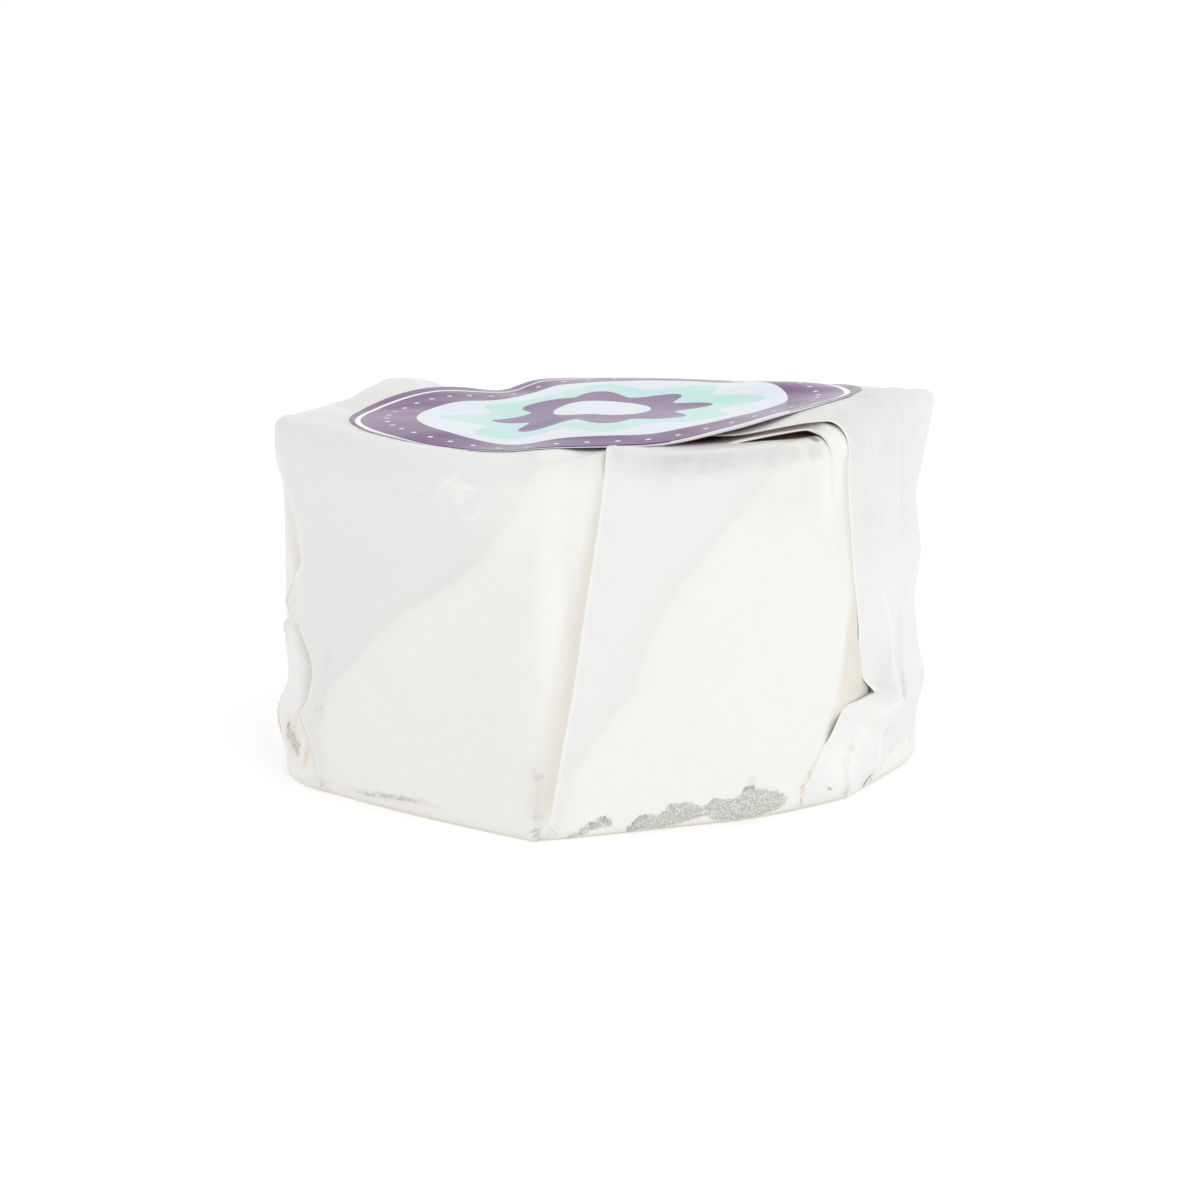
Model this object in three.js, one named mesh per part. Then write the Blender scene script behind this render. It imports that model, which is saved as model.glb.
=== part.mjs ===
// A small soft-ripened goat's-cheese wheel in its folded paper, closed with a round sticker.
//
// Millimetres, +Z up. The wheel is drawn round its own axis and the whole part is then moved
// sideways, so that the origin is the middle of its box, on the surface that it stands on.
// Angles are in degrees seen from above: 0 along +X, growing counter-clockwise.
//
// One square of paper is brought up round the wheel and laid over its top. What is left over
// all round lies in six flat pleats. Where the paper touches the cheese it is as round as the
// cheese, and between the pleats it runs straight, along tangents, to corners that stand off.

import * as THREE from 'three';

// ---- Driving dimensions ----

const GAP = 0.3;                 // air between two pieces that lie against each other
const PAPER = 0.5;               // thickness of the wrap, a little over its three real layers

const CHEESE_RADIUS = 48;
const CHEESE_FOOT_ROUND = 2;     // radius of the wheel's lower edge
const CHEESE_TOP_ROUND = 3.4;    // radius of its upper edge, slumped while it ripened
const CHEESE_SLACK = 0.5;        // more air over its top, where the gathered paper only rests

const WRAP_RADIUS = 49;          // outside of the paper where it lies on the cheese
const WRAP_FOOT_ROUND = 1.2;
const CORNER_FOOT_ROUND = 0.7;   // tighter where the paper stands off in a corner
const WRAP_TOP_ROUND = 3;
const CORNER_TOP_ROUND = 1.5;
const STAND_OFF = 5;             // distance from the cheese at which a corner is at its tightest
const RIDGE_SOFTNESS = 2;        // degrees over which a corner's ridge is rounded
const MOUTH_RADIUS = 14;         // the gathered paper leaves this open under the sticker

const TOP_HEIGHT = 56.5;         // the wrap's top at the wheel's axis
const TOP_RISE_X = 0.018;        // and how it tilts: millimetres up for each one sideways
const TOP_RISE_Y = 0.010;
const FURROW = { back: -20.5, front: -11.8, halfLength: 40, depth: 1.4, width: 8.4 };
const SWELL = { beside: 9.9, height: 0.8, width: 7.6 };
const BRIM = { inner: 43, outer: 49.5 };  // radii between which the corners' peaks rise

const LABEL = { x: -0.3, y: -1.7, radius: 42.2, thickness: 0.4, lie: 1.25 };
const LABEL_LIFT = { angle: -20, spread: 38, height: 3.9 };
const LABEL_CROWN = { x: -32, y: 22, height: 0.9, width: 12 };

// Corners, in turn: where a ridge of the wrap stands, and how far from the wheel's axis at the
// foot, at half height and at the top. peak is how far the top rises there, to the corner's
// tip, and before and after are the degrees that it takes to fall again on either side. A bulge
// swells a corner just over the foot, where paper bunches.
const CORNERS = [
  {
    angle: -166, reach: [54.6, 55, 56.2], peak: { height: 1.7, before: 40, after: 20 },
    bulge: { height: 8, size: 1.4, spread: 5 },
  },
  { angle: -151.5, reach: [55.2, 49, 46], peak: null, bulge: null },
  { angle: -101, reach: [56, 53.6, 52.4], peak: { height: 0.2, before: 24, after: 24 }, bulge: null },
  { angle: -42, reach: [49.5, 49, 49], peak: { height: 0.5, before: 28, after: 28 }, bulge: null },
  {
    angle: 2, reach: [54, 53, 55.4], peak: { height: 1.8, before: 24, after: 42 },
    bulge: { height: 11, size: 0.9, spread: 4 },
  },
  { angle: 58, reach: [53.8, 53, 54.8], peak: null, bulge: null },
  { angle: 134, reach: [54, 53.6, 56.2], peak: { height: 2, before: 17, after: 40 }, bulge: null },
];
const BELLY = 1;                 // how far a panel swells that is taut between two corners
const TAUT = 1.2;                // and how far such a panel stands off where it swells fully

// Pleats: each runs up the side as a fold whose edge is free, over the paper to its left.
// edge lists [height, angle] of that fold, lap is how far it stands proud on the side and
// lapTop on the top, and stand is its own distance from the axis where it springs clear.
const PLEATS = [
  { edge: [[0, -153], [18, -154.5], [28, -165], [57, -166]], lap: 0.9, lapTop: 0.35, stand: 49 },
  { edge: [[0, -99.7], [57, -90.5]], lap: 1.1, lapTop: 0.4, stand: 49 },
  {
    edge: [[0, -57], [12, -48.5], [16.5, -36.5], [23, -41], [45, -44.5], [57, -45]],
    lap: 0.9, lapTop: 1.5, stand: 50.9,
  },
  { edge: [[0, 5], [57, 14]], lap: 1.1, lapTop: 0.4, stand: 49 },
  { edge: [[0, 61], [57, 70]], lap: 1.1, lapTop: 0.4, stand: 49 },
  { edge: [[0, 128], [57, 139]], lap: 1.1, lapTop: 0.4, stand: 49 },
];
const LAP_AT_FOOT = 0.35;        // share of a pleat's lap that it has at the foot
const LAP_FALL = 1.5;            // how fast the lap dies out towards the panel's other end
const TUCK = 0.6;                // degrees between a fold's edge and the paper it covers
const LAP_INNER = 20;            // radius on the top inside which the pleats lie flat

// Mesh density
const PANEL_STEP = 5.2;          // degrees between two columns of a panel
const SIDE_ROWS = 12;
const ROUND_ROWS = 4;
const TOP_SHARES = [0.1, 0.21, 0.34, 0.55, 0.78, 1];  // how far in from the rim the top's rows lie
const CHEESE_COLUMNS = 60;
const LABEL_COLUMNS = 60;
const LABEL_RINGS = 7;

// ---- Small helpers ----

const radians = THREE.MathUtils.degToRad;
const lerp = THREE.MathUtils.lerp;
const clamp = THREE.MathUtils.clamp;
const bell = (distance, width) => Math.exp(-((distance / width) ** 2));
const steps = (count) => Array.from({ length: count }, (_, i) => (i + 1) / count);

// The shortest way round from one angle to another, in degrees.
function turn(from, to) {
  return THREE.MathUtils.euclideanModulo(to - from + 180, 360) - 180;
}

// The value at height on a line through [height, value] points.
function along(points, height) {
  let value = points[0][1];
  for (let i = 1; i < points.length; i += 1) {
    const [low, lowValue] = points[i - 1];
    const [high, highValue] = points[i];
    if (height > low) value = lerp(lowValue, highValue, Math.min((height - low) / (high - low), 1));
  }
  return value;
}

function polar(radius, angle, z) {
  return new THREE.Vector3(radius * Math.cos(radians(angle)), radius * Math.sin(radians(angle)), z);
}

// A closed solid from a stack of rings, each with as many points as the next and going round
// counter-clockwise, with one point before the first ring and one after the last.
function solidOfRings(first, rings, last) {
  const columns = rings[0].length;
  const points = [first, ...rings.flat(), last];
  const end = points.length - 1;
  const faces = [];
  for (let i = 0; i < columns; i += 1) {
    const next = (i + 1) % columns;
    faces.push(0, 1 + next, 1 + i);
    for (let row = 1; row < rings.length; row += 1) {
      const below = 1 + (row - 1) * columns;
      const above = 1 + row * columns;
      faces.push(below + i, below + next, above + next);
      faces.push(below + i, above + next, above + i);
    }
    faces.push(end, end - columns + i, end - columns + next);
  }
  const geometry = new THREE.BufferGeometry().setFromPoints(points);
  geometry.setIndex(faces);
  geometry.computeVertexNormals();
  return geometry;
}

// ---- The top, shared by cheese, paper and sticker ----

// Height of the wheel's top: a slightly tilted plane, with a shallow furrow from back to front
// and a low swell beside it, where the gathered paper lies thicker.
function topHeight(x, y) {
  const share = clamp(0.5 + y / (2 * FURROW.halfLength), 0, 1);
  const furrowX = lerp(FURROW.front, FURROW.back, share);
  const furrow = FURROW.depth * bell(x - furrowX, FURROW.width);
  const swell = SWELL.height * bell(x - furrowX - SWELL.beside, SWELL.width);
  return TOP_HEIGHT + TOP_RISE_X * x + TOP_RISE_Y * y - furrow + swell;
}

// How much higher the paper's brim is than the wheel under it: most at the corners' tips.
function brimRise(x, y) {
  const angle = THREE.MathUtils.radToDeg(Math.atan2(y, x));
  let total = 0;
  for (const { angle: tip, peak } of CORNERS.filter((corner) => corner.peak)) {
    const away = turn(tip, angle);
    total += peak.height * bell(away, away < 0 ? peak.before : peak.after);
  }
  return total * THREE.MathUtils.smoothstep(Math.hypot(x, y), BRIM.inner, BRIM.outer);
}

// ---- The cheese ----

function cheeseGeometry() {
  const drop = PAPER + GAP;
  const angles = steps(CHEESE_COLUMNS).map((share) => 360 * share);
  const ring = (radius, height) => angles.map((angle) => {
    const point = polar(radius, angle, 0);
    point.z = height(point.x, point.y);
    return point;
  });
  const foot = (rise) => () => drop + rise;
  const crown = (fall) => (x, y) => topHeight(x, y) - drop - CHEESE_SLACK - fall;
  const rings = [ring(CHEESE_RADIUS / 2, foot(0))];
  for (const share of [0, ...steps(ROUND_ROWS)]) {
    const lean = share * Math.PI / 2;
    const inset = CHEESE_FOOT_ROUND * (1 - Math.sin(lean));
    rings.push(ring(CHEESE_RADIUS - inset, foot(CHEESE_FOOT_ROUND * (1 - Math.cos(lean)))));
  }
  for (const share of [1 / 3, 2 / 3]) {
    const height = (x, y) => lerp(foot(CHEESE_FOOT_ROUND)(), crown(CHEESE_TOP_ROUND)(x, y), share);
    rings.push(ring(CHEESE_RADIUS, height));
  }
  for (const share of [0, ...steps(ROUND_ROWS)]) {
    const lean = share * Math.PI / 2;
    const inset = CHEESE_TOP_ROUND * (1 - Math.cos(lean));
    rings.push(ring(CHEESE_RADIUS - inset, crown(CHEESE_TOP_ROUND * (1 - Math.sin(lean)))));
  }
  for (const share of [0.75, 0.5, 0.25]) {
    rings.push(ring((CHEESE_RADIUS - CHEESE_TOP_ROUND) * share, crown(0)));
  }
  const bottom = new THREE.Vector3(0, 0, drop);
  const top = new THREE.Vector3(0, 0, crown(0)(0, 0));
  return solidOfRings(bottom, rings, top);
}

// ---- The paper ----

// How far a corner's ridge is from the axis: a curve through its three reaches, and its bulge.
function cornerReach(corner, height) {
  const share = height / TOP_HEIGHT;
  const [foot, middle, top] = corner.reach;
  const curve = foot * (1 - share) * (1 - 2 * share) + middle * 4 * share * (1 - share)
    + top * share * (2 * share - 1);
  const bulge = corner.bulge;
  return curve + (bulge ? bulge.size * bell(height - bulge.height, bulge.spread) : 0);
}

// The paper leaves the round cheese along a tangent, and reaches its greatest distance in the
// corner. away is the angle from that corner, reach the corner's distance from the axis.
function tangentRadius(away, reach) {
  if (reach <= WRAP_RADIUS) return WRAP_RADIUS;
  const tangent = Math.acos(WRAP_RADIUS / reach);
  const left = tangent - radians(Math.hypot(away, RIDGE_SOFTNESS));
  return left > 0 ? WRAP_RADIUS / Math.cos(left) : WRAP_RADIUS;
}

// Between two corners that are close enough the paper doesn't touch the cheese at all: it runs
// straight from one ridge to the other, and swells a little on the way.
function panelRadius(corner, next, angle, height) {
  const span = turn(corner.angle, next.angle);
  const away = turn(corner.angle, angle);
  if (away <= 0 || away >= span) return 0;
  const start = polar(cornerReach(corner, height), corner.angle, 0);
  const end = polar(cornerReach(next, height), next.angle, 0);
  const area = start.x * end.y - start.y * end.x;
  const nearest = area / start.distanceTo(end);
  if (nearest <= WRAP_RADIUS) return 0;
  const chord = area
    / (start.length() * Math.sin(radians(away)) + end.length() * Math.sin(radians(span - away)));
  const swelling = BELLY * clamp((nearest - WRAP_RADIUS) / TAUT, 0, 1);
  return chord + swelling * Math.sin(Math.PI * away / span);
}

function sideRadius(pleat, angle, height) {
  let radius = WRAP_RADIUS;
  CORNERS.forEach((corner, i) => {
    const next = CORNERS[(i + 1) % CORNERS.length];
    const away = turn(corner.angle, angle);
    radius = Math.max(radius, tangentRadius(away, cornerReach(corner, height)));
    radius = Math.max(radius, panelRadius(corner, next, angle, height));
  });
  const fromEdge = turn(along(pleat.edge, height), angle);
  return Math.max(radius, tangentRadius(fromEdge, pleat.stand));
}

// The columns of the wrap: pleat by pleat, from a fold's free edge (share 0) to the end that
// is tucked under the next fold (share 1).
const COLUMNS = PLEATS.flatMap((pleat, i) => {
  const next = PLEATS[(i + 1) % PLEATS.length];
  const span = THREE.MathUtils.euclideanModulo(next.edge[0][1] - pleat.edge[0][1], 360);
  const count = Math.round(span / PANEL_STEP);
  return [0, ...steps(count)].map((share) => ({ pleat, next, share }));
});

function columnAngle(column, height) {
  const start = along(column.pleat.edge, height);
  const end = along(column.next.edge, height) - TUCK;
  return start + THREE.MathUtils.euclideanModulo(end - start, 360) * column.share;
}

// One point of the wrap. lean is the direction its paper faces: -90 down at the foot, 0 on the
// side and 90 up on the top. share is how far up the side, or in from the rim to the mouth, it
// is, and depth is how far it lies under the outside of the paper: 0 outside, PAPER inside.
function wrapPoint(column, lean, share, depth) {
  const isFoot = lean < 0;
  const guess = isFoot ? 0 : TOP_HEIGHT;
  const rim = sideRadius(column.pleat, columnAngle(column, guess), guess);
  const tightness = clamp((rim - WRAP_RADIUS) / STAND_OFF, 0, 1);
  const footRound = lerp(WRAP_FOOT_ROUND, CORNER_FOOT_ROUND, tightness);
  const topRound = lerp(WRAP_TOP_ROUND, CORNER_TOP_ROUND, tightness);
  const rimAngle = columnAngle(column, guess);
  const brim = polar(rim - topRound, rimAngle, 0);
  const shoulder = topHeight(brim.x, brim.y) + brimRise(brim.x, brim.y) - topRound;

  const across = Math.cos(radians(lean));
  const up = Math.sin(radians(lean));
  let height = lerp(footRound, shoulder, share);
  if (lean < 0) height = footRound * (1 + up);
  if (lean > 0) height = shoulder + topRound * up;

  const fade = (1 - column.share) ** LAP_FALL;
  const grown = lerp(LAP_AT_FOOT, 1, clamp(height / TOP_HEIGHT, 0, 1));
  const onTop = clamp(up, 0, 1);
  const proud = depth > 0 ? 0 : fade * grown * lerp(column.pleat.lap, column.pleat.lapTop, onTop);
  const round = lean < 0 ? footRound : topRound;
  const angle = columnAngle(column, height);
  const side = sideRadius(column.pleat, angle, height);
  const bend = lean === 0 ? 0 : round * (1 - across);

  if (lean === 90 && share > 0) {
    const radius = lerp(side - round, MOUTH_RADIUS, share);
    const point = polar(radius, angle, 0);
    const flat = proud * THREE.MathUtils.smoothstep(radius, LAP_INNER, WRAP_RADIUS - round);
    point.z = topHeight(point.x, point.y) + brimRise(point.x, point.y) + flat - depth;
    return point;
  }
  if (lean === -90) {
    const radius = lerp(side - round, 0, share);
    return polar(radius, angle, depth);
  }
  const footProud = lean < 0 ? proud * across : proud;
  const radius = side - bend + (footProud - depth) * across;
  const z = height + (lean < 0 ? -depth : proud - depth) * up;
  return polar(radius, angle, z);
}

function wrapRings(sideRows, depth) {
  const ring = (lean, share) => COLUMNS.map((column) => wrapPoint(column, lean, share, depth));
  const rings = [ring(-90, 0.5)];
  for (const share of [0, ...steps(ROUND_ROWS)]) rings.push(ring(-90 * (1 - share), 0));
  for (const share of steps(sideRows)) rings.push(ring(0, share));
  for (const share of steps(ROUND_ROWS)) rings.push(ring(90 * share, 0));
  for (const share of TOP_SHARES) rings.push(ring(90, share));
  return rings;
}

function wrapGeometry() {
  const outside = wrapRings(SIDE_ROWS, 0);
  const inside = wrapRings(SIDE_ROWS / 2, PAPER).reverse();
  const under = new THREE.Vector3(0, 0, 0);
  const floor = new THREE.Vector3(0, 0, PAPER);
  return solidOfRings(under, [...outside, ...inside], floor);
}

// ---- The sticker ----

// Height of the sticker's face: on the paper's top, crowned at the back left, and with its
// edge sprung clear of the folds at the front right.
function labelHeight(x, y) {
  const away = Math.hypot(x - LABEL.x, y - LABEL.y) / LABEL.radius;
  const angle = THREE.MathUtils.radToDeg(Math.atan2(y - LABEL.y, x - LABEL.x));
  const lift = LABEL_LIFT.height * away ** 2
    * bell(turn(LABEL_LIFT.angle, angle), LABEL_LIFT.spread);
  const crown = LABEL_CROWN.height
    * bell(Math.hypot(x - LABEL_CROWN.x, y - LABEL_CROWN.y), LABEL_CROWN.width);
  return topHeight(x, y) + LABEL.lie + lift + crown;
}

function labelGeometry() {
  const angles = steps(LABEL_COLUMNS).map((share) => 360 * share);
  const ring = (share, depth) => angles.map((angle) => {
    const point = polar(LABEL.radius * share, angle, 0);
    point.x += LABEL.x;
    point.y += LABEL.y;
    point.z = labelHeight(point.x, point.y) - depth;
    return point;
  });
  const shares = steps(LABEL_RINGS);
  const under = shares.map((share) => ring(share, LABEL.thickness));
  const face = shares.map((share) => ring(share, 0)).reverse();
  const middle = labelHeight(LABEL.x, LABEL.y);
  const bottom = new THREE.Vector3(LABEL.x, LABEL.y, middle - LABEL.thickness);
  const top = new THREE.Vector3(LABEL.x, LABEL.y, middle);
  return solidOfRings(bottom, [...under, ...face], top);
}

// ---- The part ----

function piece(name, geometry, colour, roughness) {
  const material = new THREE.MeshStandardMaterial({ color: colour, roughness, metalness: 0 });
  const mesh = new THREE.Mesh(geometry, material);
  mesh.name = name;
  return mesh;
}

const part = new THREE.Group();
part.add(piece('cheese_wheel', cheeseGeometry(), 0xefe8d8, 0.8));
part.add(piece('paper_wrap', wrapGeometry(), 0xf0f0ed, 0.6));
part.add(piece('label', labelGeometry(), 0x5c3a66, 0.35));

// The origin goes under the middle of the box.
const middle = new THREE.Box3().setFromObject(part).getCenter(new THREE.Vector3());
part.position.set(-middle.x, -middle.y, 0);
part.updateMatrixWorld(true);

export default part;
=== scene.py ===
# %% [markdown]
# # A small goat's-cheese wheel in its folded paper
#
# The object is a soft-ripened cheese about ten centimetres across. A square of thin waxed
# paper is brought up round it, the spare paper is laid over in six pleats, and a round glossy
# sticker holds the gathered paper together on top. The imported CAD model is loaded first. It
# fixes where everything is and how big it is, and every new piece is worked out around it.

# %% Load the frame
import math

import bpy
import numpy as np
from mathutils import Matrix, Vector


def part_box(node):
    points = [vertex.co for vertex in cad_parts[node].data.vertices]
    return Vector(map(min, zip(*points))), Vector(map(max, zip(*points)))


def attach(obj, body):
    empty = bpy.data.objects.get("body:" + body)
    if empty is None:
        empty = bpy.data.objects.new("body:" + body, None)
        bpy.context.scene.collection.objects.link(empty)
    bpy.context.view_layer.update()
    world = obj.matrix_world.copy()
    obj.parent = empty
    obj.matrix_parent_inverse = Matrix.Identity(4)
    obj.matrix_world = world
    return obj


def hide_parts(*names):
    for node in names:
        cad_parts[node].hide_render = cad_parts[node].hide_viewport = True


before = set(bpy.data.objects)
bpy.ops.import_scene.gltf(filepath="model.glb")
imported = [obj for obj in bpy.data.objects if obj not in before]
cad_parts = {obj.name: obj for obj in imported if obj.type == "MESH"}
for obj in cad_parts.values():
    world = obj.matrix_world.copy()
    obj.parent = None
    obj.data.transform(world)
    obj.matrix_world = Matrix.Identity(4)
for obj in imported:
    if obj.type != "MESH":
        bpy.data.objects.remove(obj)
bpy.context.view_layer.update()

MM = 0.001                     # one millimetre in Blender's metres
wheel_low, wheel_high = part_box("cheese_wheel")
AXIS_X = (wheel_low.x + wheel_high.x) / 2 / MM
AXIS_Y = (wheel_low.y + wheel_high.y) / 2 / MM
print("nodes", sorted(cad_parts), "wheel axis at", round(AXIS_X, 2), round(AXIS_Y, 2), "mm")

# %% [markdown]
# ## The camera
#
# The camera comes first, because it decides which folds matter. A small object is well shown
# from close by, a little above it, with a short telephoto lens. All places in this file are
# given in millimetres from the wheel's own axis, so one small function turns them into
# Blender's metres.

# %% Camera
CAMERA_AT = (-1.45, -379.6, 104.0)   # millimetres from the wheel's axis and from the floor
CAMERA_DOWN = 11.761                 # degrees below the horizon
LENS = 69.0                          # millimetres, on a sensor 36 mm wide
SENSOR = 36.0


def place(points):
    """Millimetres from the wheel's axis to metres in the frame: shift sideways, then scale."""
    return (np.asarray(points, float) + (AXIS_X, AXIS_Y, 0.0)) * MM


camera_data = bpy.data.cameras.new("camera")
camera_data.lens = LENS
camera_data.sensor_width = SENSOR
camera_data.clip_start = 0.01
camera = bpy.data.objects.new("camera", camera_data)
camera.location = place(CAMERA_AT)
camera.rotation_euler = (math.radians(90 - CAMERA_DOWN), 0, 0)
bpy.context.scene.collection.objects.link(camera)
bpy.context.scene.camera = camera
print("camera", [round(value, 3) for value in camera.location])

# %% [markdown]
# ## Small tools
#
# Shapes are worked out as whole numpy arrays and only then put into a mesh. A tube-like shape
# is a stack of rings, each with the same number of points, so one function joins them up.

# %% Mesh helpers


def smooth(value, low, high):
    """A smooth step: 0 below low, 1 above high, and 3t^2 - 2t^3 between them."""
    t = np.clip((value - low) / (high - low), 0, 1)
    return t * t * (3 - 2 * t)


def bell(distance, width):
    """A bell curve: exp(-(distance / width)^2)."""
    return np.exp(-(distance / width) ** 2)


def turn(start, end):
    """The shortest way round from one angle to another, in degrees from -180 to 180."""
    return np.mod(end - start + 180, 360) - 180


def mix(first, second, share):
    """From first to second as share goes from 0 to 1."""
    return first + (second - first) * share


def ring_faces(rows, columns):
    """The four-sided faces of a grid of rows, closed round each row, facing outwards when the
    rows go up and the columns go counter-clockwise."""
    row, column = np.meshgrid(np.arange(rows - 1), np.arange(columns), indexing="ij")
    right = (column + 1) % columns
    quads = np.stack([row * columns + column, row * columns + right,
                      (row + 1) * columns + right, (row + 1) * columns + column], axis=-1)
    return quads.reshape(-1, 4)


def waves(x, y, z, wavelength, count, seed):
    """A soft random field: the mean of plane waves with random directions and starts."""
    draw = np.random.default_rng(seed)
    total = 0
    for _ in range(count):
        heading = draw.normal(size=3)
        heading *= 2 * math.pi / wavelength / np.linalg.norm(heading)
        total = total + np.sin(x * heading[0] + y * heading[1] + z * heading[2] + draw.uniform(0, 6.3))
    return total / math.sqrt(count)


def new_piece(name, points, quads, fans=()):
    """A mesh object from points in millimetres, quads and triangle fans. A fan is the index of
    its middle point and the indices of the ring round it."""
    faces = [tuple(face) for face in quads.tolist()]
    for centre, ring in fans:
        following = np.roll(ring, -1)
        faces += [(int(centre), int(a), int(b)) for a, b in zip(ring, following)]
    mesh = bpy.data.meshes.new(name)
    mesh.from_pydata(place(points).tolist(), [], faces)
    mesh.validate()
    mesh.shade_smooth()
    piece = bpy.data.objects.new(name, mesh)
    bpy.context.scene.collection.objects.link(piece)
    print(name, len(mesh.vertices), "points,", len(mesh.polygons), "faces")
    return piece


def closed_piece(name, rings, first_end, last_end):
    """A closed piece from a stack of rings, with one point before the first ring and one after
    the last. The rings go up their outside and counter-clockwise."""
    count, width = rings.shape[:2]
    total = count * width
    points = np.concatenate([rings.reshape(-1, 3), [first_end, last_end]])
    fans = [(total, np.arange(width)[::-1]), (total + 1, total - width + np.arange(width))]
    return new_piece(name, points, ring_faces(count, width), fans)


def add_layer(piece, name, values):
    """A number for each point of a piece, which its material reads by name."""
    layer = piece.data.attributes.new(name, "FLOAT", "POINT")
    layer.data.foreach_set("value", np.asarray(values, np.float32).ravel())


# %% [markdown]
# ## The form of the wheel's top
#
# Cheese, paper and sticker share one top: a slightly tilted plane with a shallow furrow from
# back to front and a low swell beside it. Where the paper stands off in a corner, its rim also
# rises to that corner's tip.

# %% The top
TOP = 56.5                     # height of the top at the axis
TOP_RISE = (0.018, 0.010)      # millimetres up for each one along X and Y
FURROW_BACK, FURROW_FRONT, FURROW_HALF = -20.5, -11.8, 40.0
FURROW_DEPTH, FURROW_WIDTH = 1.4, 8.4
SWELL_BESIDE, SWELL_HEIGHT, SWELL_WIDTH = 9.9, 0.8, 7.6
BRIM_INNER, BRIM_OUTER = 42.5, 47.0


def top_height(x, y):
    """Height of the top: tilted plane, minus a bell-shaped furrow, plus a bell-shaped swell."""
    share = np.clip(0.5 + y / (2 * FURROW_HALF), 0, 1)
    furrow = mix(FURROW_FRONT, FURROW_BACK, share)
    plane = TOP + TOP_RISE[0] * x + TOP_RISE[1] * y
    dip = FURROW_DEPTH * bell(x - furrow, FURROW_WIDTH)
    return plane - dip + SWELL_HEIGHT * bell(x - furrow - SWELL_BESIDE, SWELL_WIDTH)


# %% The sticker's form
STICKER_X, STICKER_Y, STICKER_RADIUS = -0.6, -1.7, 42.0
STICKER_LIE = 1.1              # height of the sticker's middle over the top
STICKER_THICK, TURNED_THICK = 0.16, 0.42    # and the extra where its edge is turned under
TURNED_AT, TURNED_HALF = -62.0, 24.0
DOMES = ((12.0, 26.0, 2.0, 17.0), (27.0, 7.0, 2.0, 11.0))   # x, y, height and width of its low domes
# the height of its edge over the plane of the top, at directions from its middle
EDGE_ANGLES = (-172, -158, -149, -140, -132, -124, -117, -110, -105, -100, -91, -84, -79, -73, -68,
               -61, -55, -49, -44, -36, -28, -20, -8, 7, 17, 26, 34, 44, 52, 68, 82, 91, 100, 106,
               110, 113, 116, 120, 125, 132, 139, 145, 152, 160, 169, 180)
EDGE_HEIGHTS = (0.75, 0.96, 0.96, 0.85, 0.45, 0.25, 0.24, 0.30, 0.80, 1.06, 1.18, 1.2, 1.29, 1.88, 2.59,
                3.32, 4.0, 4.45, 4.62, 4.95, 4.9, 4.7, 4.25, 3.55, 2.96, 2.2, 1.64, 1.18, 1.0, 0.9,
                1.03, 1.25, 1.36, 1.47, 1.03, 0.15, -0.3, 0.0, 0.75, 1.44, 1.68, 1.56, 1.24, 0.74,
                0.4, 0.5)


def sticker_edge(angle):
    """Height of the sticker's edge over the plane, averaged over a few degrees."""
    return sum(np.interp(angle + step, EDGE_ANGLES, EDGE_HEIGHTS, period=360) for step in (-2, 0, 2)) / 3


def sticker_height(x, y):
    """Height of the sticker's face: it follows the top loosely, with two low domes, and
    runs out to the height of its edge with the square of the distance from its middle."""
    dx, dy = x - STICKER_X, y - STICKER_Y
    away = np.hypot(dx, dy) / STICKER_RADIUS
    angle = np.arctan2(dy, dx)
    edge_x = STICKER_X + STICKER_RADIUS * np.cos(angle)
    edge_y = STICKER_Y + STICKER_RADIUS * np.sin(angle)

    def lying(at_x, at_y):
        """Where the sticker would lie if its edge weren't lifted."""
        domes = sum(high * bell(np.hypot(at_x - dome_x, at_y - dome_y), wide)
                    for dome_x, dome_y, high, wide in DOMES)
        return top_height(at_x, at_y) + STICKER_LIE + domes

    plane = TOP + TOP_RISE[0] * edge_x + TOP_RISE[1] * edge_y
    rise = plane + sticker_edge(np.degrees(angle)) - lying(edge_x, edge_y)
    ripple = 0.08 * waves(x, y, 0 * x, 26.0, 10, 11) + 0.03 * waves(x, y, 0 * x, 9.0, 12, 12)
    return lying(x, y) + rise * away ** 2.2 + ripple * smooth(away, 0.1, 0.5) * (1 - smooth(away, 0.8, 1.0))


def sticker_thickness(angle):
    """The sticker is one thin layer, and thicker where its edge is turned under."""
    return STICKER_THICK + TURNED_THICK * bell(turn(TURNED_AT, angle), TURNED_HALF)


# %% [markdown]
# ## Where the paper's corners stand
#
# Paper can't be round in two directions, so it touches the round cheese only in places and
# stands off in soft vertical ridges between them. Each ridge has a direction and a distance
# from the axis at several heights. From a ridge the paper runs straight, along a tangent, until
# it meets the cheese. That is the hull of a circle and a few points, and it has a formula.

# %% Corners
SHEET = 48.6                   # radius of one layer of paper where it lies on the cheese
RIDGE_SOFTNESS = 2.0           # degrees over which a ridge is rounded
BELLY, TAUT = 1.0, 1.2         # how far a taut panel swells, and the stand-off where it does

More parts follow.
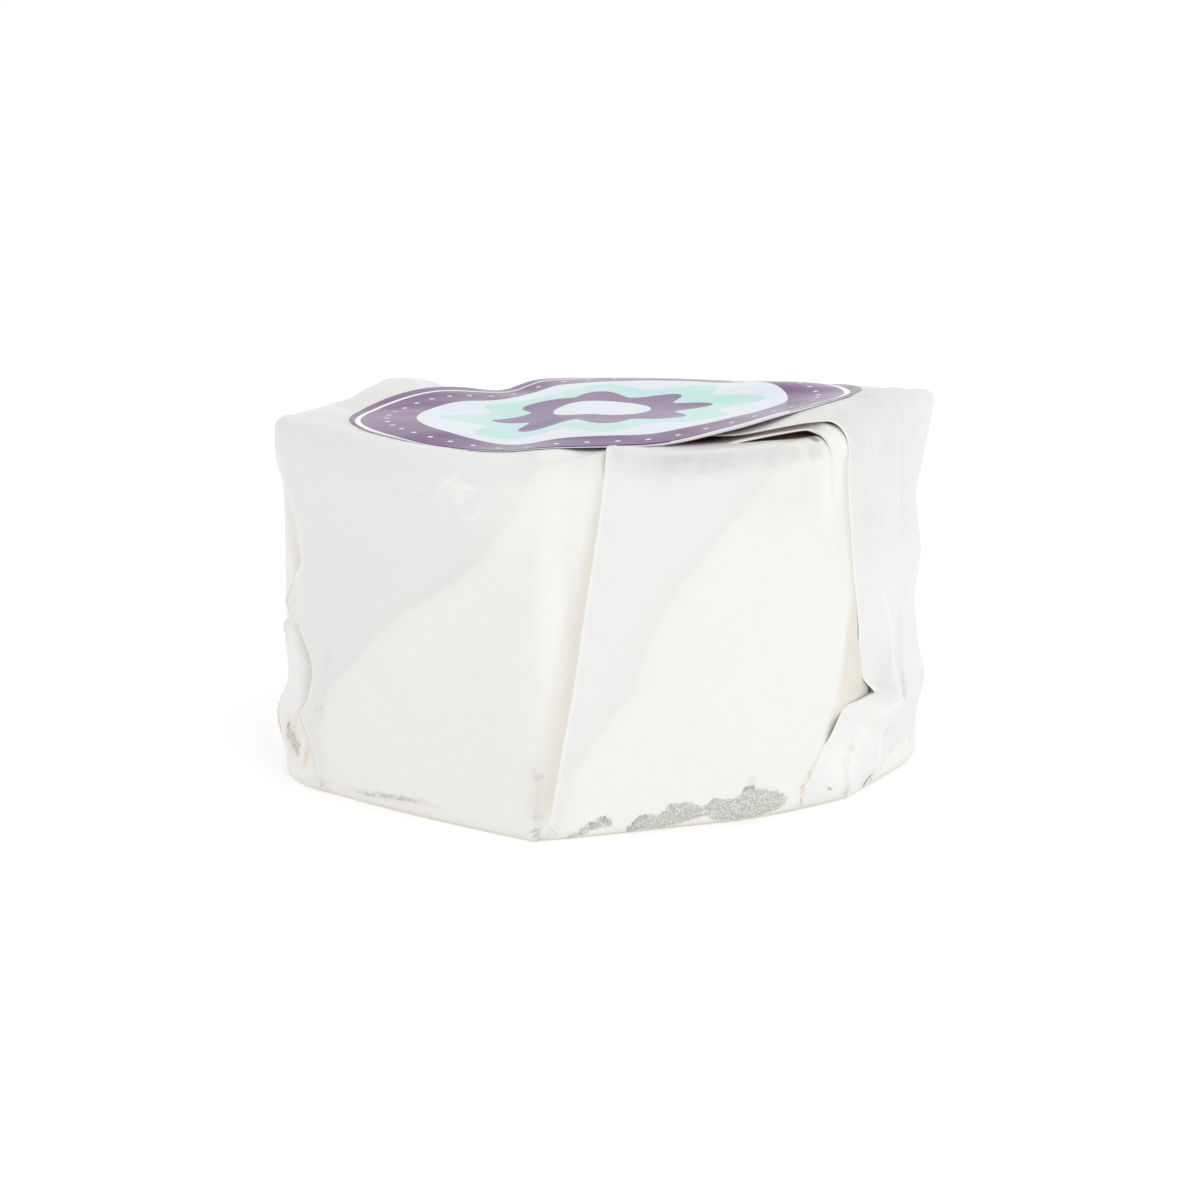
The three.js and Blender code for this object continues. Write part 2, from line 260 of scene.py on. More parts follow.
# the direction of each ridge, some heights, and its distance from the axis at each of them
CORNERS = (
    (-166.0, (0, 3, 6, 8, 10.5, 11.8, 14, 20, 26, 36, 44, 57),
     (54.0, 54.8, 55.9, 56.3, 56.2, 55.2, 54.0, 54.3, 54.9, 54.9, 54.9, 55.9)),
    (-151.5, (0, 4, 8, 28, 57), (54.8, 54.0, 53.2, 49, 46)),
    (-101.0, (0, 20, 40, 57), (56.2, 53.9, 52.8, 52.2)),
    (-42.0, (0, 28, 57), (49.6, 49, 49)),
    (-17.0, (0, 5, 12, 20, 57), (50.0, 50.4, 50.3, 49.3, 47)),
    (2.0, (0, 3, 8, 12, 14.5, 24, 33, 41, 50, 57),
     (51.6, 52.2, 52.7, 53.9, 53.0, 51.7, 53.2, 51.9, 53.6, 54.9)),
    (58.0, (0, 28, 57), (53.8, 53, 54.8)),
    (134.0, (0, 28, 57), (54, 53.6, 56.2)),
)
# where the rim rises to a tip: direction, height, and degrees that it takes before and after
TIPS = ((-166.0, 1.9, 40, 20), (-101.0, 0.2, 24, 24), (-42.0, 0.65, 30, 24), (2.0, 1.5, 20, 42),
        (22.0, 0.2, 16, 22), (134.0, 2.0, 5, 28), (118.0, -0.8, 9, 8), (75.0, -0.9, 26, 26))


def through(heights, values, at):
    """A soft curve through a few named heights: straight lines, then averaged over 2 mm."""
    around = (-1.5, -0.75, 0.0, 0.75, 1.5)
    return sum(np.interp(at + step, heights, values) for step in around) / len(around)


def brim_rise(x, y):
    """How much the rim rises towards the corner tips: a bell round each tip, times a smooth
    step outwards."""
    angle = np.degrees(np.arctan2(y, x))
    total = 0
    for tip, height, before, after in TIPS:
        away = turn(tip, angle)
        total = total + height * bell(away, np.where(away < 0, before, after))
    return total * smooth(np.hypot(x, y), BRIM_INNER, BRIM_OUTER)


def tangent_radius(away, reach):
    """Distance from the axis of the straight paper beside a ridge: SHEET / cos(t - away), where
    t is the angle at which the tangent touches, and SHEET past it."""
    tangent = np.arccos(np.clip(SHEET / reach, -1, 1))
    left = tangent - np.radians(np.hypot(away, RIDGE_SOFTNESS))
    return np.where((left > 0) & (reach > SHEET), SHEET / np.cos(left), SHEET)


def hull_radius(angle, height):
    """Distance of one layer of paper from the axis, at an angle and a height."""
    radius = np.full(np.shape(angle), SHEET)
    for index, (tip, heights, reaches) in enumerate(CORNERS):
        following, next_heights, next_reaches = CORNERS[(index + 1) % len(CORNERS)]
        reach = through(heights, reaches, height)
        away = turn(tip, angle)
        radius = np.maximum(radius, tangent_radius(away, reach))
        next_reach = through(next_heights, next_reaches, height)
        span = turn(tip, following)
        opening, past = math.radians(span), np.radians(away)
        area = reach * next_reach * math.sin(opening)
        gap = np.sqrt(reach ** 2 + next_reach ** 2 - 2 * reach * next_reach * math.cos(opening))
        nearest = area / gap
        inside = (away > 0) & (away < span) & (nearest > SHEET)
        line = area / np.maximum(reach * np.sin(past) + next_reach * np.sin(opening - past), 1)
        swelling = BELLY * np.clip((nearest - SHEET) / TAUT, 0, 1) * np.sin(math.pi * away / span)
        radius = np.where(inside, np.maximum(radius, line + swelling), radius)
    return radius


print("paper radius at a corner", hull_radius(np.array([-166.0, 2.0]), np.array([30.0, 30.0])).round(1))

# %% [markdown]
# ## The pleats
#
# Each pleat is a Z-fold. Going round, the paper dives under the next fold's free edge, runs on
# to a hidden crease, comes back to the free edge and goes over itself. The free edges stand as
# steps on the side. The hidden creases show through the paper as slanted borders, because
# three layers look cooler and greyer than one layer that touches the cheese.
#
# A pleat's path is measured as one length: the height on the side, and on the top the rim's
# height plus the way in from the rim.

# %% Pleats
PATH_TOP = 57.0                # path length at which the side ends and the top begins
LAYER = 0.16                   # from one layer of paper to the next
EDGE_THICK, TIGHT_TO = 0.10, 2.5    # the pleat's thickness at its free edge, and how far that reaches
BESIDE = 1.6                   # degrees from a free edge to the plain part of its panel

NONE = ((0, 57), (0.0, 0.0))
SLIGHT = ((0, 57), (0.2, 0.2))         # the depth of the groove before a free edge, in millimetres
NARROW = ((0, 57), (1.4, 1.4))         # the width of the soft shadow beside it, in millimetres
PLAIN = dict(shadow=NARROW, fade=(7.0, 7.0), proud=NONE, groove=SLIGHT)

# Each table is path lengths, then values there. edge, line and crease are angles: the free edge,
# the line before it to which the covered panel swells (proud) and behind which it drops (groove),
# and the hidden crease. lap is how far the free edge springs up, and fade how far that reaches, on
# the side and on the top. inner is the line beside the edge, and pinch how much the edge is held.
PLEATS = (
    dict(name="left", shadow=NARROW, fade=(6.0, 6.0), proud=((0, 12, 30, 36, 57), (0.2, 0.3, 0.3, 0.1, 0.0)),
         groove=((0, 4, 10, 14, 20, 28, 32, 36, 57), (0.3, 0.6, 0.8, 1.2, 1.3, 1.2, 0.6, 0.3, 0.2)),
         edge=((0, 2.9, 5.2, 8.1, 11.3, 13.3, 17.4, 20.8, 24.6, 27.6, 30.4, 34.7, 40, 45, 50, 54, 57, 96),
               (-147.8, -148.9, -150.3, -152.8, -155.4, -154.2, -154, -156.1, -161.1, -163.8, -161.5,
                -159.0, -159.6, -162.0, -165.2, -167.5, -168.5, -175)),
         line=((0, 3.1, 5.6, 11.1, 12.5, 15.5, 18.7, 24.7, 28, 31, 57),
               (-150.2, -150.9, -152.9, -156.7, -156.2, -158.0, -158.0, -163.4, -164.2, -162, -169)),
         crease=((0, 8, 12, 17, 21.6, 25.8, 31.2, 36.2, 41.5, 49.8, 57, 96),
                 (-145, -149, -151, -148.4, -142.7, -138.3, -129.8, -119.6, -111.8, -105.4, -101, -120)),
         lap=((0, 10, 24, 50, 57, 96), (0.5, 0.6, 0.5, 0.25, 0.0, 0.0))),
    dict(name="front", shadow=((0, 15, 28, 38, 46, 50, 54, 57), (4.4, 4.2, 3.6, 2.6, 1.9, 1.0, 0.8, 0.7)),
         fade=(6.0, 6.0), proud=NONE, groove=SLIGHT,
         edge=((0, 11.4, 23.6, 34.8, 46.7, 57.9, 96), (-99.7, -97.9, -95.7, -94, -91.9, -90.5, -94)),
         line=((0, 11.4, 23.6, 34.8, 46.7, 57.9), (-100.5, -98.8, -96.7, -95, -93, -91.6)),
         crease=((0, 9, 14.7, 22, 30, 37.8, 45.3, 51.4, 57, 96),
                 (-97.5, -95.5, -91.5, -84.9, -82.0, -76.5, -68.5, -61.5, -55, -66)),
         lap=((0, 10, 40, 55, 60, 68, 96), (0.15, 0.2, 0.3, 0.5, 0.4, 0.1, 0.0))),
    dict(name="right_front", fade=(12.0, 60.0),
         shadow=((0, 10, 24, 36, 44, 50, 57), (0.9, 0.9, 1.4, 1.1, 1.3, 1.4, 0.8)),
         proud=((0, 8, 14, 22, 30, 40, 57), (0.0, 0.05, 0.2, 0.25, 0.1, 0.0, 0.0)),
         groove=((0, 8, 12, 22, 30, 38, 46, 57), (0.1, 0.2, 0.38, 0.42, 0.32, 0.1, 0.0, 0.0)),
         edge=((0, 1.8, 3.0, 4.2, 5.8, 7.4, 9.2, 11.1, 12.1, 12.9, 13.9, 14.7, 15.1, 15.35, 16.0, 17.6,
                19.8, 23.2, 26.5, 30.6, 33.9, 37.9, 42.7, 47.5, 52.1, 55.5, 57.2, 57.6, 58.0, 58.5, 59.2,
                60.5, 64, 72, 96),
               (-55.0, -53.6, -52.9, -51.5, -50.1, -48.5, -47.0, -46.1, -45.6, -44.4, -42.8, -40.5, -36.0,
                -31.6, -32.8, -34.9, -36.2, -37.1, -37.6, -38.6, -39.5, -40.4, -41.3, -42.1, -42.6, -43.0,
                -43.4, -45.0, -50.0, -57.0, -63.0, -67.0, -74, -84, -100)),
         line=((0, 3.3, 4.7, 6.1, 7.7, 9.6, 11.0, 12.9, 14.4, 16.2, 19.4, 22.4, 25.5, 28.5, 31.6, 35.5,
                39.5, 44.4, 49.1, 55.3),
               (-55.6, -53.4, -52.2, -50.8, -49.1, -47.7, -46.8, -45.9, -45.0, -44.2, -43.6, -42.4, -41.9,
                -41.0, -40.5, -40.5, -41.4, -42.8, -44.1, -44.6)),
         pinch=((0, 5, 8, 12, 14, 16.5, 18, 26, 57), (0, 0, 0.6, 0.6, 0.8, 0.8, 0.5, 0, 0)),
         inner=((0, 6, 9, 12, 15, 17, 20, 23, 30, 38, 48, 57, 57.6, 58, 58.5, 59.2, 60.5, 64, 72, 96),
                (-49, -43, -39, -33.5, -29.2, -29.6, -31, -32.3, -35, -37, -38.7, -39.5, -40.3, -42, -47,
                 -54, -59, -67, -77, -94)),
         crease=((0, 2, 5, 10, 24, 40, 57, 96), (-48, -32, -10, -3, 0, 2, 6, -40)),
         lap=((0, 3, 10, 17, 24, 30, 45, 50, 55, 57, 58, 59, 62, 70, 96),
              (0.1, 0.1, 0.05, 0.0, 0.05, 0.05, 0.0, 0.1, 0.4, 0.9, 0.98, 1.1, 1.2, 0.5, 0.0))),
    dict(PLAIN, name="right", edge=((0, 57, 96), (5, 14, 4)), line=((0, 57), (3.5, 12.5)),
         crease=((0, 8, 30, 57, 96), (7, 10, 32, 46, 25)), lap=((0, 50, 57, 96), (0.35, 0.6, 0.0, 0.0))),
    dict(PLAIN, name="back_right", edge=((0, 57, 96), (61, 70, 60)), line=((0, 57), (59.5, 68.5)),
         crease=((0, 8, 57, 96), (63, 66, 104, 80)), lap=((0, 50, 57, 96), (0.35, 0.5, 0.0, 0.0))),
    dict(PLAIN, name="back_left", edge=((0, 57, 96), (128, 139, 130)), line=((0, 57), (126.5, 137.5)),
         crease=((0, 8, 57, 96), (130, 133, 174, 150)), lap=((0, 50, 57, 96), (0.35, 0.5, 0.0, 0.0))),
)
print("pleats:", ", ".join(pleat["name"] for pleat in PLEATS))

# %% [markdown]
# ## Creases and hollows
#
# Thin paper that has been handled is full of small flat facets with sharp lines between them.
# A crease is a tent: highest on a line between two points and falling straight to both sides.
# Most of them are placed where the folding makes them, and a few faint ones are drawn at
# random from a fixed seed. Places on the side are an angle and a path length.

# %% Creases
RING = 50.0                    # radius at which angles on the side are turned into millimetres


def tent(angle, path, start, end, height, left, right):
    """A crease from start to end, each (angle, path): height times one minus the distance from
    the line over its width, a different width on either side, fading out at both ends."""
    per_degree = math.radians(RING)
    ax, ay = turn(start[0], angle) * per_degree, path - start[1]
    bx, by = turn(start[0], end[0]) * per_degree, end[1] - start[1]
    length = math.hypot(bx, by)
    lengthwise = (ax * bx + ay * by) / length
    across = (ax * by - ay * bx) / length
    width = np.where(across > 0, right, left)
    slope = np.clip(1 - np.sqrt(across ** 2 + 0.01) / width, 0, 1)
    ends = np.clip(np.minimum(lengthwise, length - lengthwise) / (0.3 * length) + 0.3, 0, 1)
    return height * slope * ends


# start, end, height, the width of its upper and lower side (of its left and right side where it
# runs up) in millimetres, and the pleat on whose outer panel it is
CREASES = (
    ((-108.5, 54.6), (-103.0, 53.2), 0.35, 1.6, 1.1, 0),     # crinkle along the rim
    ((-103.5, 53.4), (-97.5, 54.9), 0.3, 1.2, 1.4, 0),
    ((-97.5, 54.9), (-92.5, 55.2), 0.25, 1.4, 1.0, 0),
    ((-166.0, 56.5), (-160.0, 38.0), 0.4, 2.6, 5.0, 0),      # soft fold down from the left corner
    ((-161.0, 40.0), (-159.0, 24.0), 0.35, 2.0, 4.0, 0),
    ((-88.6, 56.0), (-88.0, 30.0), 0.15, 0.9, 0.9, 1),       # faint upright line beside the front edge
    ((-35.0, 16.4), (-17.5, 9.2), 1.5, 1.8, 5.0, 2),         # the fold that runs in from the notch
    ((-38.0, 21.5), (-19.5, 12.6), -1.1, 5.0, 1.8, 2),       # grey pocket above it
    ((-27.0, 30.0), (-18.4, 9.8), 0.6, 2.4, 4.0, 2),
    ((-47.5, 13.6), (-37.0, 4.6), 1.0, 3.0, 2.6, 2),         # facets of the flap's foot
    ((-38.0, 14.0), (-23.0, 9.2), 0.6, 1.4, 2.2, 2),
    ((-36.0, 7.4), (-16.0, 5.6), -0.7, 3.0, 3.4, 2),
    ((-25.0, 10.0), (-31.0, 1.4), 0.6, 2.6, 2.6, 2),
    ((-38.0, 58.0), (-33.8, 36.0), 0.32, 1.8, 3.4, 2),       # long soft corrugations of the flap
    ((-34.2, 42.0), (-35.0, 22.0), 0.32, 1.8, 3.2, 2),
    ((-30.5, 58.0), (-26.0, 24.0), -0.5, 3.0, 3.4, 2),
    ((-24.0, 59.0), (-18.0, 28.0), 0.45, 2.8, 3.6, 2),
    ((-15.0, 54.0), (-13.0, 28.0), -0.5, 3.4, 3.4, 2),
    ((2.0, 33.0), (-14.0, 24.0), 0.4, 2.6, 3.4, 2),          # crumples that run in from the right
    ((2.0, 41.0), (-12.0, 47.0), -0.4, 3.0, 3.0, 2),
    ((-1.0, 12.0), (-14.0, 17.0), 0.4, 2.6, 3.4, 2),
    ((-8.0, 57.0), (-11.0, 42.0), 0.3, 2.0, 3.4, 2),
    ((4.0, 58.5), (-7.0, 52.0), 0.35, 1.6, 2.2, 2),
)

# sharp little nicks below the sticker's edge at the front left, which catch the light: start,
# end, height
NICKS = (
    ((-121.6, 51.4), (-117.2, 54.6), 0.35), ((-118.4, 52.4), (-112.8, 52.8), 0.30),
    ((-117.4, 51.0), (-113.6, 51.3), 0.2), ((-117.3, 51.0), (-116.2, 47.9), 0.25),
    ((-116.4, 48.1), (-113.0, 48.4), 0.2), ((-113.8, 51.4), (-113.0, 48.6), 0.2),
    ((-122.6, 50.0), (-119.4, 48.8), 0.2), ((-120.8, 48.6), (-118.4, 46.6), 0.12),
    ((-108.0, 53.0), (-103.4, 52.2), 0.15), ((-127.4, 51.4), (-122.8, 51.0), 0.12),
)
NICK_WIDTH, NICK_LINE = 1.1, 0.45      # of its tent and of its bright line, in millimetres

chance = np.random.default_rng(7)
STRAY_COUNT = 90               # faint creases all over


def stray_creases(angle, path):
    """The sum of many faint tents with random places, directions, lengths and heights."""
    total = np.zeros(np.shape(angle))
    for _ in range(STRAY_COUNT):
        centre = (chance.uniform(-180, 180), chance.uniform(4, 66))
        heading = chance.uniform(0, math.pi)
        half = chance.uniform(2.0, 7.0)
        along = half * math.cos(heading) / math.radians(RING)
        start = (centre[0] - along, centre[1] - half * math.sin(heading))
        end = (centre[0] + along, centre[1] + half * math.sin(heading))
        height = chance.uniform(0.03, 0.10) * chance.choice((-1, 1))
        widths = chance.uniform(0.8, 3.5, 2)
        near = (np.abs(turn(centre[0], angle)) < 14) & (np.abs(path - centre[1]) < 12)
        total[near] += tent(angle[near], path[near], start, end, height, widths[0], widths[1])
    return total


# %% [markdown]
# ## The sheet of paper
#
# The paper is one closed shell. Its outside is a grid: the columns go round the wheel and
# through every Z-fold, and the rows go from the middle of the underside, up the side, over the
# rim and in to the mouth under the sticker. Towards the floor the Z-folds open, because there
# the pleats run out and the paper lies in a single layer. Its inside is a plain smooth wall.

# %% Columns of the grid
FOLD_STEPS = 9                 # columns in each hidden layer
FINE_STEP, MIDDLE_STEP, COARSE_STEP = 0.55, 0.8, 1.2   # millimetres between columns, front to back
EDGE_STEPS = (0.0, 0.22, 0.5, 0.9)    # millimetres of the first columns beside a free edge
FIRST, LAST = 0.06, 0.94       # shares of a panel's columns at the line beside its edge and at the groove
OVER, UNDER, BETWEEN = 0, 1, 2


def pleat_columns():
    """For each column: the pleat whose panel it is on, its layer and its share of the way. The
    outer layer goes from the free edge (0) to the next edge (1), the under layer on from there
    (0) to the crease (1), and the layer between comes back from the crease (1) to the edge."""
    owner, layer, share = [], [], []
    for index, pleat in enumerate(PLEATS):
        following = PLEATS[(index + 1) % len(PLEATS)]
        span = (following["edge"][1][0] - pleat["edge"][1][0]) % 360
        millimetres = math.radians(span) * RING
        spacing = COARSE_STEP if index in (3, 4) else FINE_STEP if index < 3 else MIDDLE_STEP
        count = int(millimetres / spacing)
        even = np.linspace(EDGE_STEPS[-1] / millimetres, 1, count)
        outer = np.concatenate([np.array(EDGE_STEPS[:-1]) / millimetres, even])
        steps = np.arange(1, FOLD_STEPS + 1) / FOLD_STEPS
        for kind, shares in ((OVER, outer), (UNDER, steps), (BETWEEN, steps[::-1])):
            owner += [index] * len(shares)
            layer += [kind] * len(shares)
            share += list(shares)
    return np.array(owner), np.array(layer), np.array(share)


OWNER, KIND, SHARE = pleat_columns()
COLUMN_COUNT = len(OWNER)
print("columns", COLUMN_COUNT)

# %% Edges and creases as arrays
FLAT_HALF = 1.6                # degrees that each opened layer of a pleat takes at the floor
SUNK = 0.12                    # how much deeper the hidden layers lie, away from the free edge
UNDER_EDGE = 0.2               # degrees that a covered panel reaches below the free edge
OPEN_PATH = 2.6                # path length over which the Z-folds open towards the floor
SHORT = 2.6                    # degrees that a hidden layer stops short of its crease's line
LEAST_GROOVE = 0.3             # degrees between a groove's line and the free edge at the least


def beside_gap(pleat, path, edge):
    """Degrees from a free edge to the smoother line beside it."""
    if "inner" not in pleat:
        return np.full(path.shape, BESIDE)
    return np.maximum(turn(edge, np.interp(path, *pleat["inner"])), BESIDE)


def pleat_lines(path):
    """For each column and row six angles, unwrapped so that they grow round the wheel: its own
    free edge and the line beside it, the next panel's groove line, its free edge, the line
    beside that, and its hidden crease."""
    own, beside, groove, following, after_beside, crease = (np.zeros(path.shape) for _ in range(6))
    for index, pleat in enumerate(PLEATS):
        columns = OWNER == index
        after = PLEATS[(index + 1) % len(PLEATS)]
        here = path[:, columns]
        start = np.interp(here, *pleat["edge"])
        end = np.interp(here, *after["edge"])
        own[:, columns] = start
        beside[:, columns] = start + beside_gap(pleat, here, start)
        following[:, columns] = start + np.mod(end - start, 360)
        to_line = turn(np.interp(here, *after["line"]), end)
        groove[:, columns] = following[:, columns] - np.maximum(to_line, LEAST_GROOVE)
        gap = np.mod(np.interp(here, *after["crease"]) - end, 360)
        gap = np.maximum(gap - SHORT, 0.6 * gap)
        crease[:, columns] = following[:, columns] + gap
        after_beside[:, columns] = following[:, columns] + np.minimum(beside_gap(after, here, end), 0.5 * gap)
    return own, beside, groove, following, after_beside, crease


def sheet_angles(path):
    """The angle of every grid point: along its panel, its hidden layer, or, near the floor, the
    even spacing of the unfolded paper."""
    own, beside, groove, following, after_beside, crease = pleat_lines(path)
    early, middle = SHARE / FIRST, (SHARE - FIRST) / (LAST - FIRST)
    over = np.where(SHARE < FIRST, mix(own, beside, early), mix(beside, groove, middle))
    over = np.where(SHARE > LAST, mix(groove, following + UNDER_EDGE, (SHARE - LAST) / (1 - LAST)), over)
    hidden = np.where(SHARE < 1 / 3, mix(following, after_beside, 3 * SHARE),
                      mix(after_beside, crease, 1.5 * SHARE - 0.5))
    folded = np.where(KIND == OVER, over, hidden)
    flat_over = mix(own + FLAT_HALF, following - FLAT_HALF, SHARE)
    flat_under = following - FLAT_HALF + FLAT_HALF * SHARE
    flat_between = following + FLAT_HALF * (1 - SHARE)
    flat = np.where(KIND == OVER, flat_over, np.where(KIND == UNDER, flat_under, flat_between))
    return mix(flat, folded, smooth(path, 0.4, OPEN_PATH))


# %% [markdown]
# How far each point stands out from a single layer of paper comes next. It is the sum of the
# layers below it, of the way in which a free edge springs up, and of the creases.

# %% Relief
HOLLOWS = (                    # angle, path, depth, and half size round and up, in millimetres
    (-156.5, 19.0, 0.4, 2.6, 5.0),      # pockets beside the left edge
    (-153.5, 6.0, 0.4, 2.6, 4.0),
    (-94.5, 60.5, 0.6, 3.6, 3.2),       # beside the front edge, under the sticker
    (-72.0, 57.0, 0.3, 18.0, 1.6),      # along the rim at the front right
)
MOUND_X, MOUND_Y, MOUND_HEIGHT, MOUND_WIDTH = 37.2, -12.6, 4.0, 14.4  # folds below the sticker's right
CEILING = 0.1                  # clearance of the paper below the sticker
CREASE_BEFORE, CREASE_AFTER = 2.2, 0.9    # where the layers end, on either side of a hidden crease
RIM_ZONE = (55, 60)            # path lengths between which a lap's reach changes to that on the top
FOLDS_FROM, LAP_GROWS = 0.2, (0.6, 7.0)   # path lengths where folds start, and over which laps grow
PINCH_REACH = 5.0              # how far from a free edge its being held is felt
SETTLE_FROM = 53.0             # from here to the rim the lowest layers settle flat
SWELL_REACH = 7.0              # over which a covered panel's swell dies out, away from its line
CLIMB = (0.1, 1.6)             # distances from a free edge over which the covered panel rises to it
TILT_STEP = 0.3                # half the path length over which an edge's slant is measured
STACK_OUTER, STACK_INNER, STACK_HEIGHT = 47.0, 42.0, 0.2   # the gathered paper gets thicker inwards


def past(pleat, key, angle, path):
    """Millimetres that a point lies past one of a pleat's lines, counter-clockwise."""
    return turn(np.interp(path, *pleat[key]), angle) * math.radians(RING)


def raised_height(pleat, angle, path):
    """How far a pleat's outer panel stands above the panel below: two layers as far as the
    hidden crease, plus a lap that decays away from the free edge. Also returns both distances."""
    away = np.maximum(past(pleat, "edge", angle, path), 0)
    beyond = past(pleat, "crease", angle, path)
    zone = 1 - smooth(beyond, -CREASE_BEFORE, CREASE_AFTER)
    spread = mix(*pleat["fade"], smooth(path, *RIM_ZONE))
    lap = np.interp(path, *pleat["lap"]) * np.exp(-away / spread)
    opened = smooth(path, FOLDS_FROM, OPEN_PATH)
    if "pinch" in pleat:
        opened = opened * (1 - np.interp(path, *pleat["pinch"]) * bell(away, PINCH_REACH))
    return (2 * LAYER * zone + lap * smooth(path, *LAP_GROWS)) * opened, zone, away, beyond


def between_height(raised):
    """The returning layer lies a little below the outer one."""
    return raised - np.minimum(LAYER, 0.35 * raised)


def under_height(raised, away, path):
    """The lowest layer follows close below on the side, tight at the free edge, and lies flat on
    the top."""
    close = between_height(raised) - np.minimum(LAYER, 0.3 * raised)
    tight = np.maximum(raised - EDGE_THICK, 0)
    return mix(tight, close, smooth(away, 0.0, TIGHT_TO)) * (1 - smooth(path, SETTLE_FROM, PATH_TOP))


def groove_relief(angle, path):
    """The end of a covered panel: it swells to its line, drops behind it, and comes up again
    below the free edge. Returns the relief, how deep in the groove each point is, and how much
    of the soft shadow beside the free edge falls on it."""
    relief, depth, shadow = (np.zeros(path.shape) for _ in range(3))
    for index, pleat in enumerate(PLEATS):
        columns = (OWNER == (index - 1) % len(PLEATS)) & (KIND == OVER)
        here = path[:, columns]
        beyond = past(pleat, "line", angle[:, columns], here)
        to_edge = -past(pleat, "edge", angle[:, columns], here)
        on_side = smooth(here, 1.5, 6) * (1 - smooth(here, 55, 58))
        inside = smooth(beyond, -0.4, 1.4)
        proud, groove = np.interp(here, *pleat["proud"]), np.interp(here, *pleat["groove"])
        swell = proud * np.exp(-np.maximum(-beyond, 0) / SWELL_REACH) * (1 - inside)
        edge_angle = np.interp(here, *pleat["edge"])
        above = np.interp(here + TILT_STEP, *pleat["edge"])
        beneath = np.interp(here - TILT_STEP, *pleat["edge"])
        tilt = (above - beneath) / (2 * TILT_STEP) * math.radians(RING)
        near = to_edge / np.sqrt(1 + tilt ** 2)
        level = under_height(raised_height(pleat, edge_angle, here)[0], 0.0, here)
        climb = 1 - smooth(near, *CLIMB)
        relief[:, columns] = (swell - groove * inside * (1 - climb)) * on_side + level * climb
        # depth sets the painted warm shade in the groove
        depth[:, columns] = inside * on_side * np.clip((groove - 0.2) / 0.2, 0, 1)
        shadow[:, columns] = np.clip(1 - near / np.interp(here, *pleat["shadow"]), 0, 1) * on_side
    return relief, depth, shadow


def sheet_relief(angle, path):
    """Millimetres that each point stands out, and what the finish needs to know about it."""
    lift = np.zeros(path.shape)
    zone_here = np.zeros(path.shape)
    fold_line_shade = np.zeros(path.shape)
    tip = np.zeros(path.shape)
    creases = stray_creases(angle, path) * smooth(path, 2, 8)
    shine = np.zeros(path.shape)
    for start, end, height, left, right, owner in CREASES:
        on = (OWNER == owner) & (KIND == OVER)
        here, at = angle[:, on], path[:, on]
        creases[:, on] += tent(here, at, start, end, height, left, right)
        if height < 0:
            below = (OWNER == (owner - 1) % len(PLEATS)) & (KIND != OVER)
            here_below, at_below = angle[:, below], path[:, below]
            creases[:, below] += tent(here_below, at_below, start, end, 2 * height, 2 * left, 2 * right)
        # shine: a painted highlight along each taller crease's line, partly wax whitened in the crease
        if height > 0.32:
            shine[:, on] += tent(here, at, start, end, min(0.6, height), 0.7, 0.7)
    nicked = (OWNER == 0) & (KIND == OVER)
    here, at = angle[:, nicked], path[:, nicked]
    for start, end, height in NICKS:
        creases[:, nicked] += tent(here, at, start, end, height, NICK_WIDTH, NICK_WIDTH)
        shine[:, nicked] += tent(here, at, start, end, 2.6 * height, NICK_LINE, NICK_LINE)
    for where, at, depth, half_round, half_up in HOLLOWS:
        round_off = turn(where, angle) * math.radians(RING)
        creases -= depth * bell(round_off, half_round) * bell(path - at, half_up)
    for index, pleat in enumerate(PLEATS):
        before = (index - 1) % len(PLEATS)
        panel = (OWNER == index) & (KIND == OVER)
        middle = (OWNER == before) & (KIND == BETWEEN)
        hidden = (OWNER == before) & (KIND == UNDER)
        for columns in (panel, middle, hidden):
            raised, zone, away, beyond = raised_height(pleat, angle[:, columns], path[:, columns])
            if columns is panel:
                lift[:, columns] = raised - 0.5 * LAYER * bell(away, 0.16)
                zone_here[:, columns] = zone
                # painted shade: a brown-grey band just inside the hidden crease's line
                fold_line_shade[:, columns] = bell(beyond + 1.6, 2.2) * (beyond < 2)
                # tip: a painted highlight along the free edge
                tip[:, columns] = bell(away, 0.45)
            else:
                zone_here[:, columns] = 1
                low = under_height(raised, away, path[:, columns])
                settled = smooth(path[:, columns], SETTLE_FROM, PATH_TOP)
                open_share = np.maximum(smooth(away, 0.0, TIGHT_TO), settled)
                closed = mix(low + 0.03, between_height(raised), open_share)
                lift[:, columns] = (closed if columns is middle else low) - SUNK * smooth(away, 0.8, 4.0)
    groove, depth, shadow = groove_relief(angle, path)
    top_share = smooth(path, PATH_TOP + 2, PATH_TOP + 12)
    relief = lift + groove + creases * (1 - 0.8 * top_share)
    # deep: painted brown shade on the hidden layers near the rim and on the paper under the sticker's front
    deep = np.where(KIND == OVER, (OWNER == 1) * smooth(path, 60, 63), smooth(path, 50, 56))
    return relief, dict(layers=np.maximum(zone_here, top_share), fold_line_shade=fold_line_shade, tip=tip, groove=depth,
                        deep=deep, shadow=shadow, shine=np.clip(shine, 0, 1) * (1 - top_share))


# %% Rows of the grid
FOOT_ROUND, CORNER_FOOT_ROUND = 1.1, 0.6
FLARE, FLARE_PATH = 0.5, 6.0   # how far the foot spreads, and the path length over which it does
TOP_LIE = 0.05                 # height of a single layer over the plain top
RIM_ROUND, CORNER_RIM_ROUND = 3.0, 1.6
STAND_OFF = 5.0
INNERMOST = 48.3               # the hidden layers stay outside this radius
MOUTH = 11.0
UNDER_ROWS, FOOT_ROWS, SIDE_ROWS, RIM_ROWS, TOP_ROWS = 5, 6, 82, 10, 32


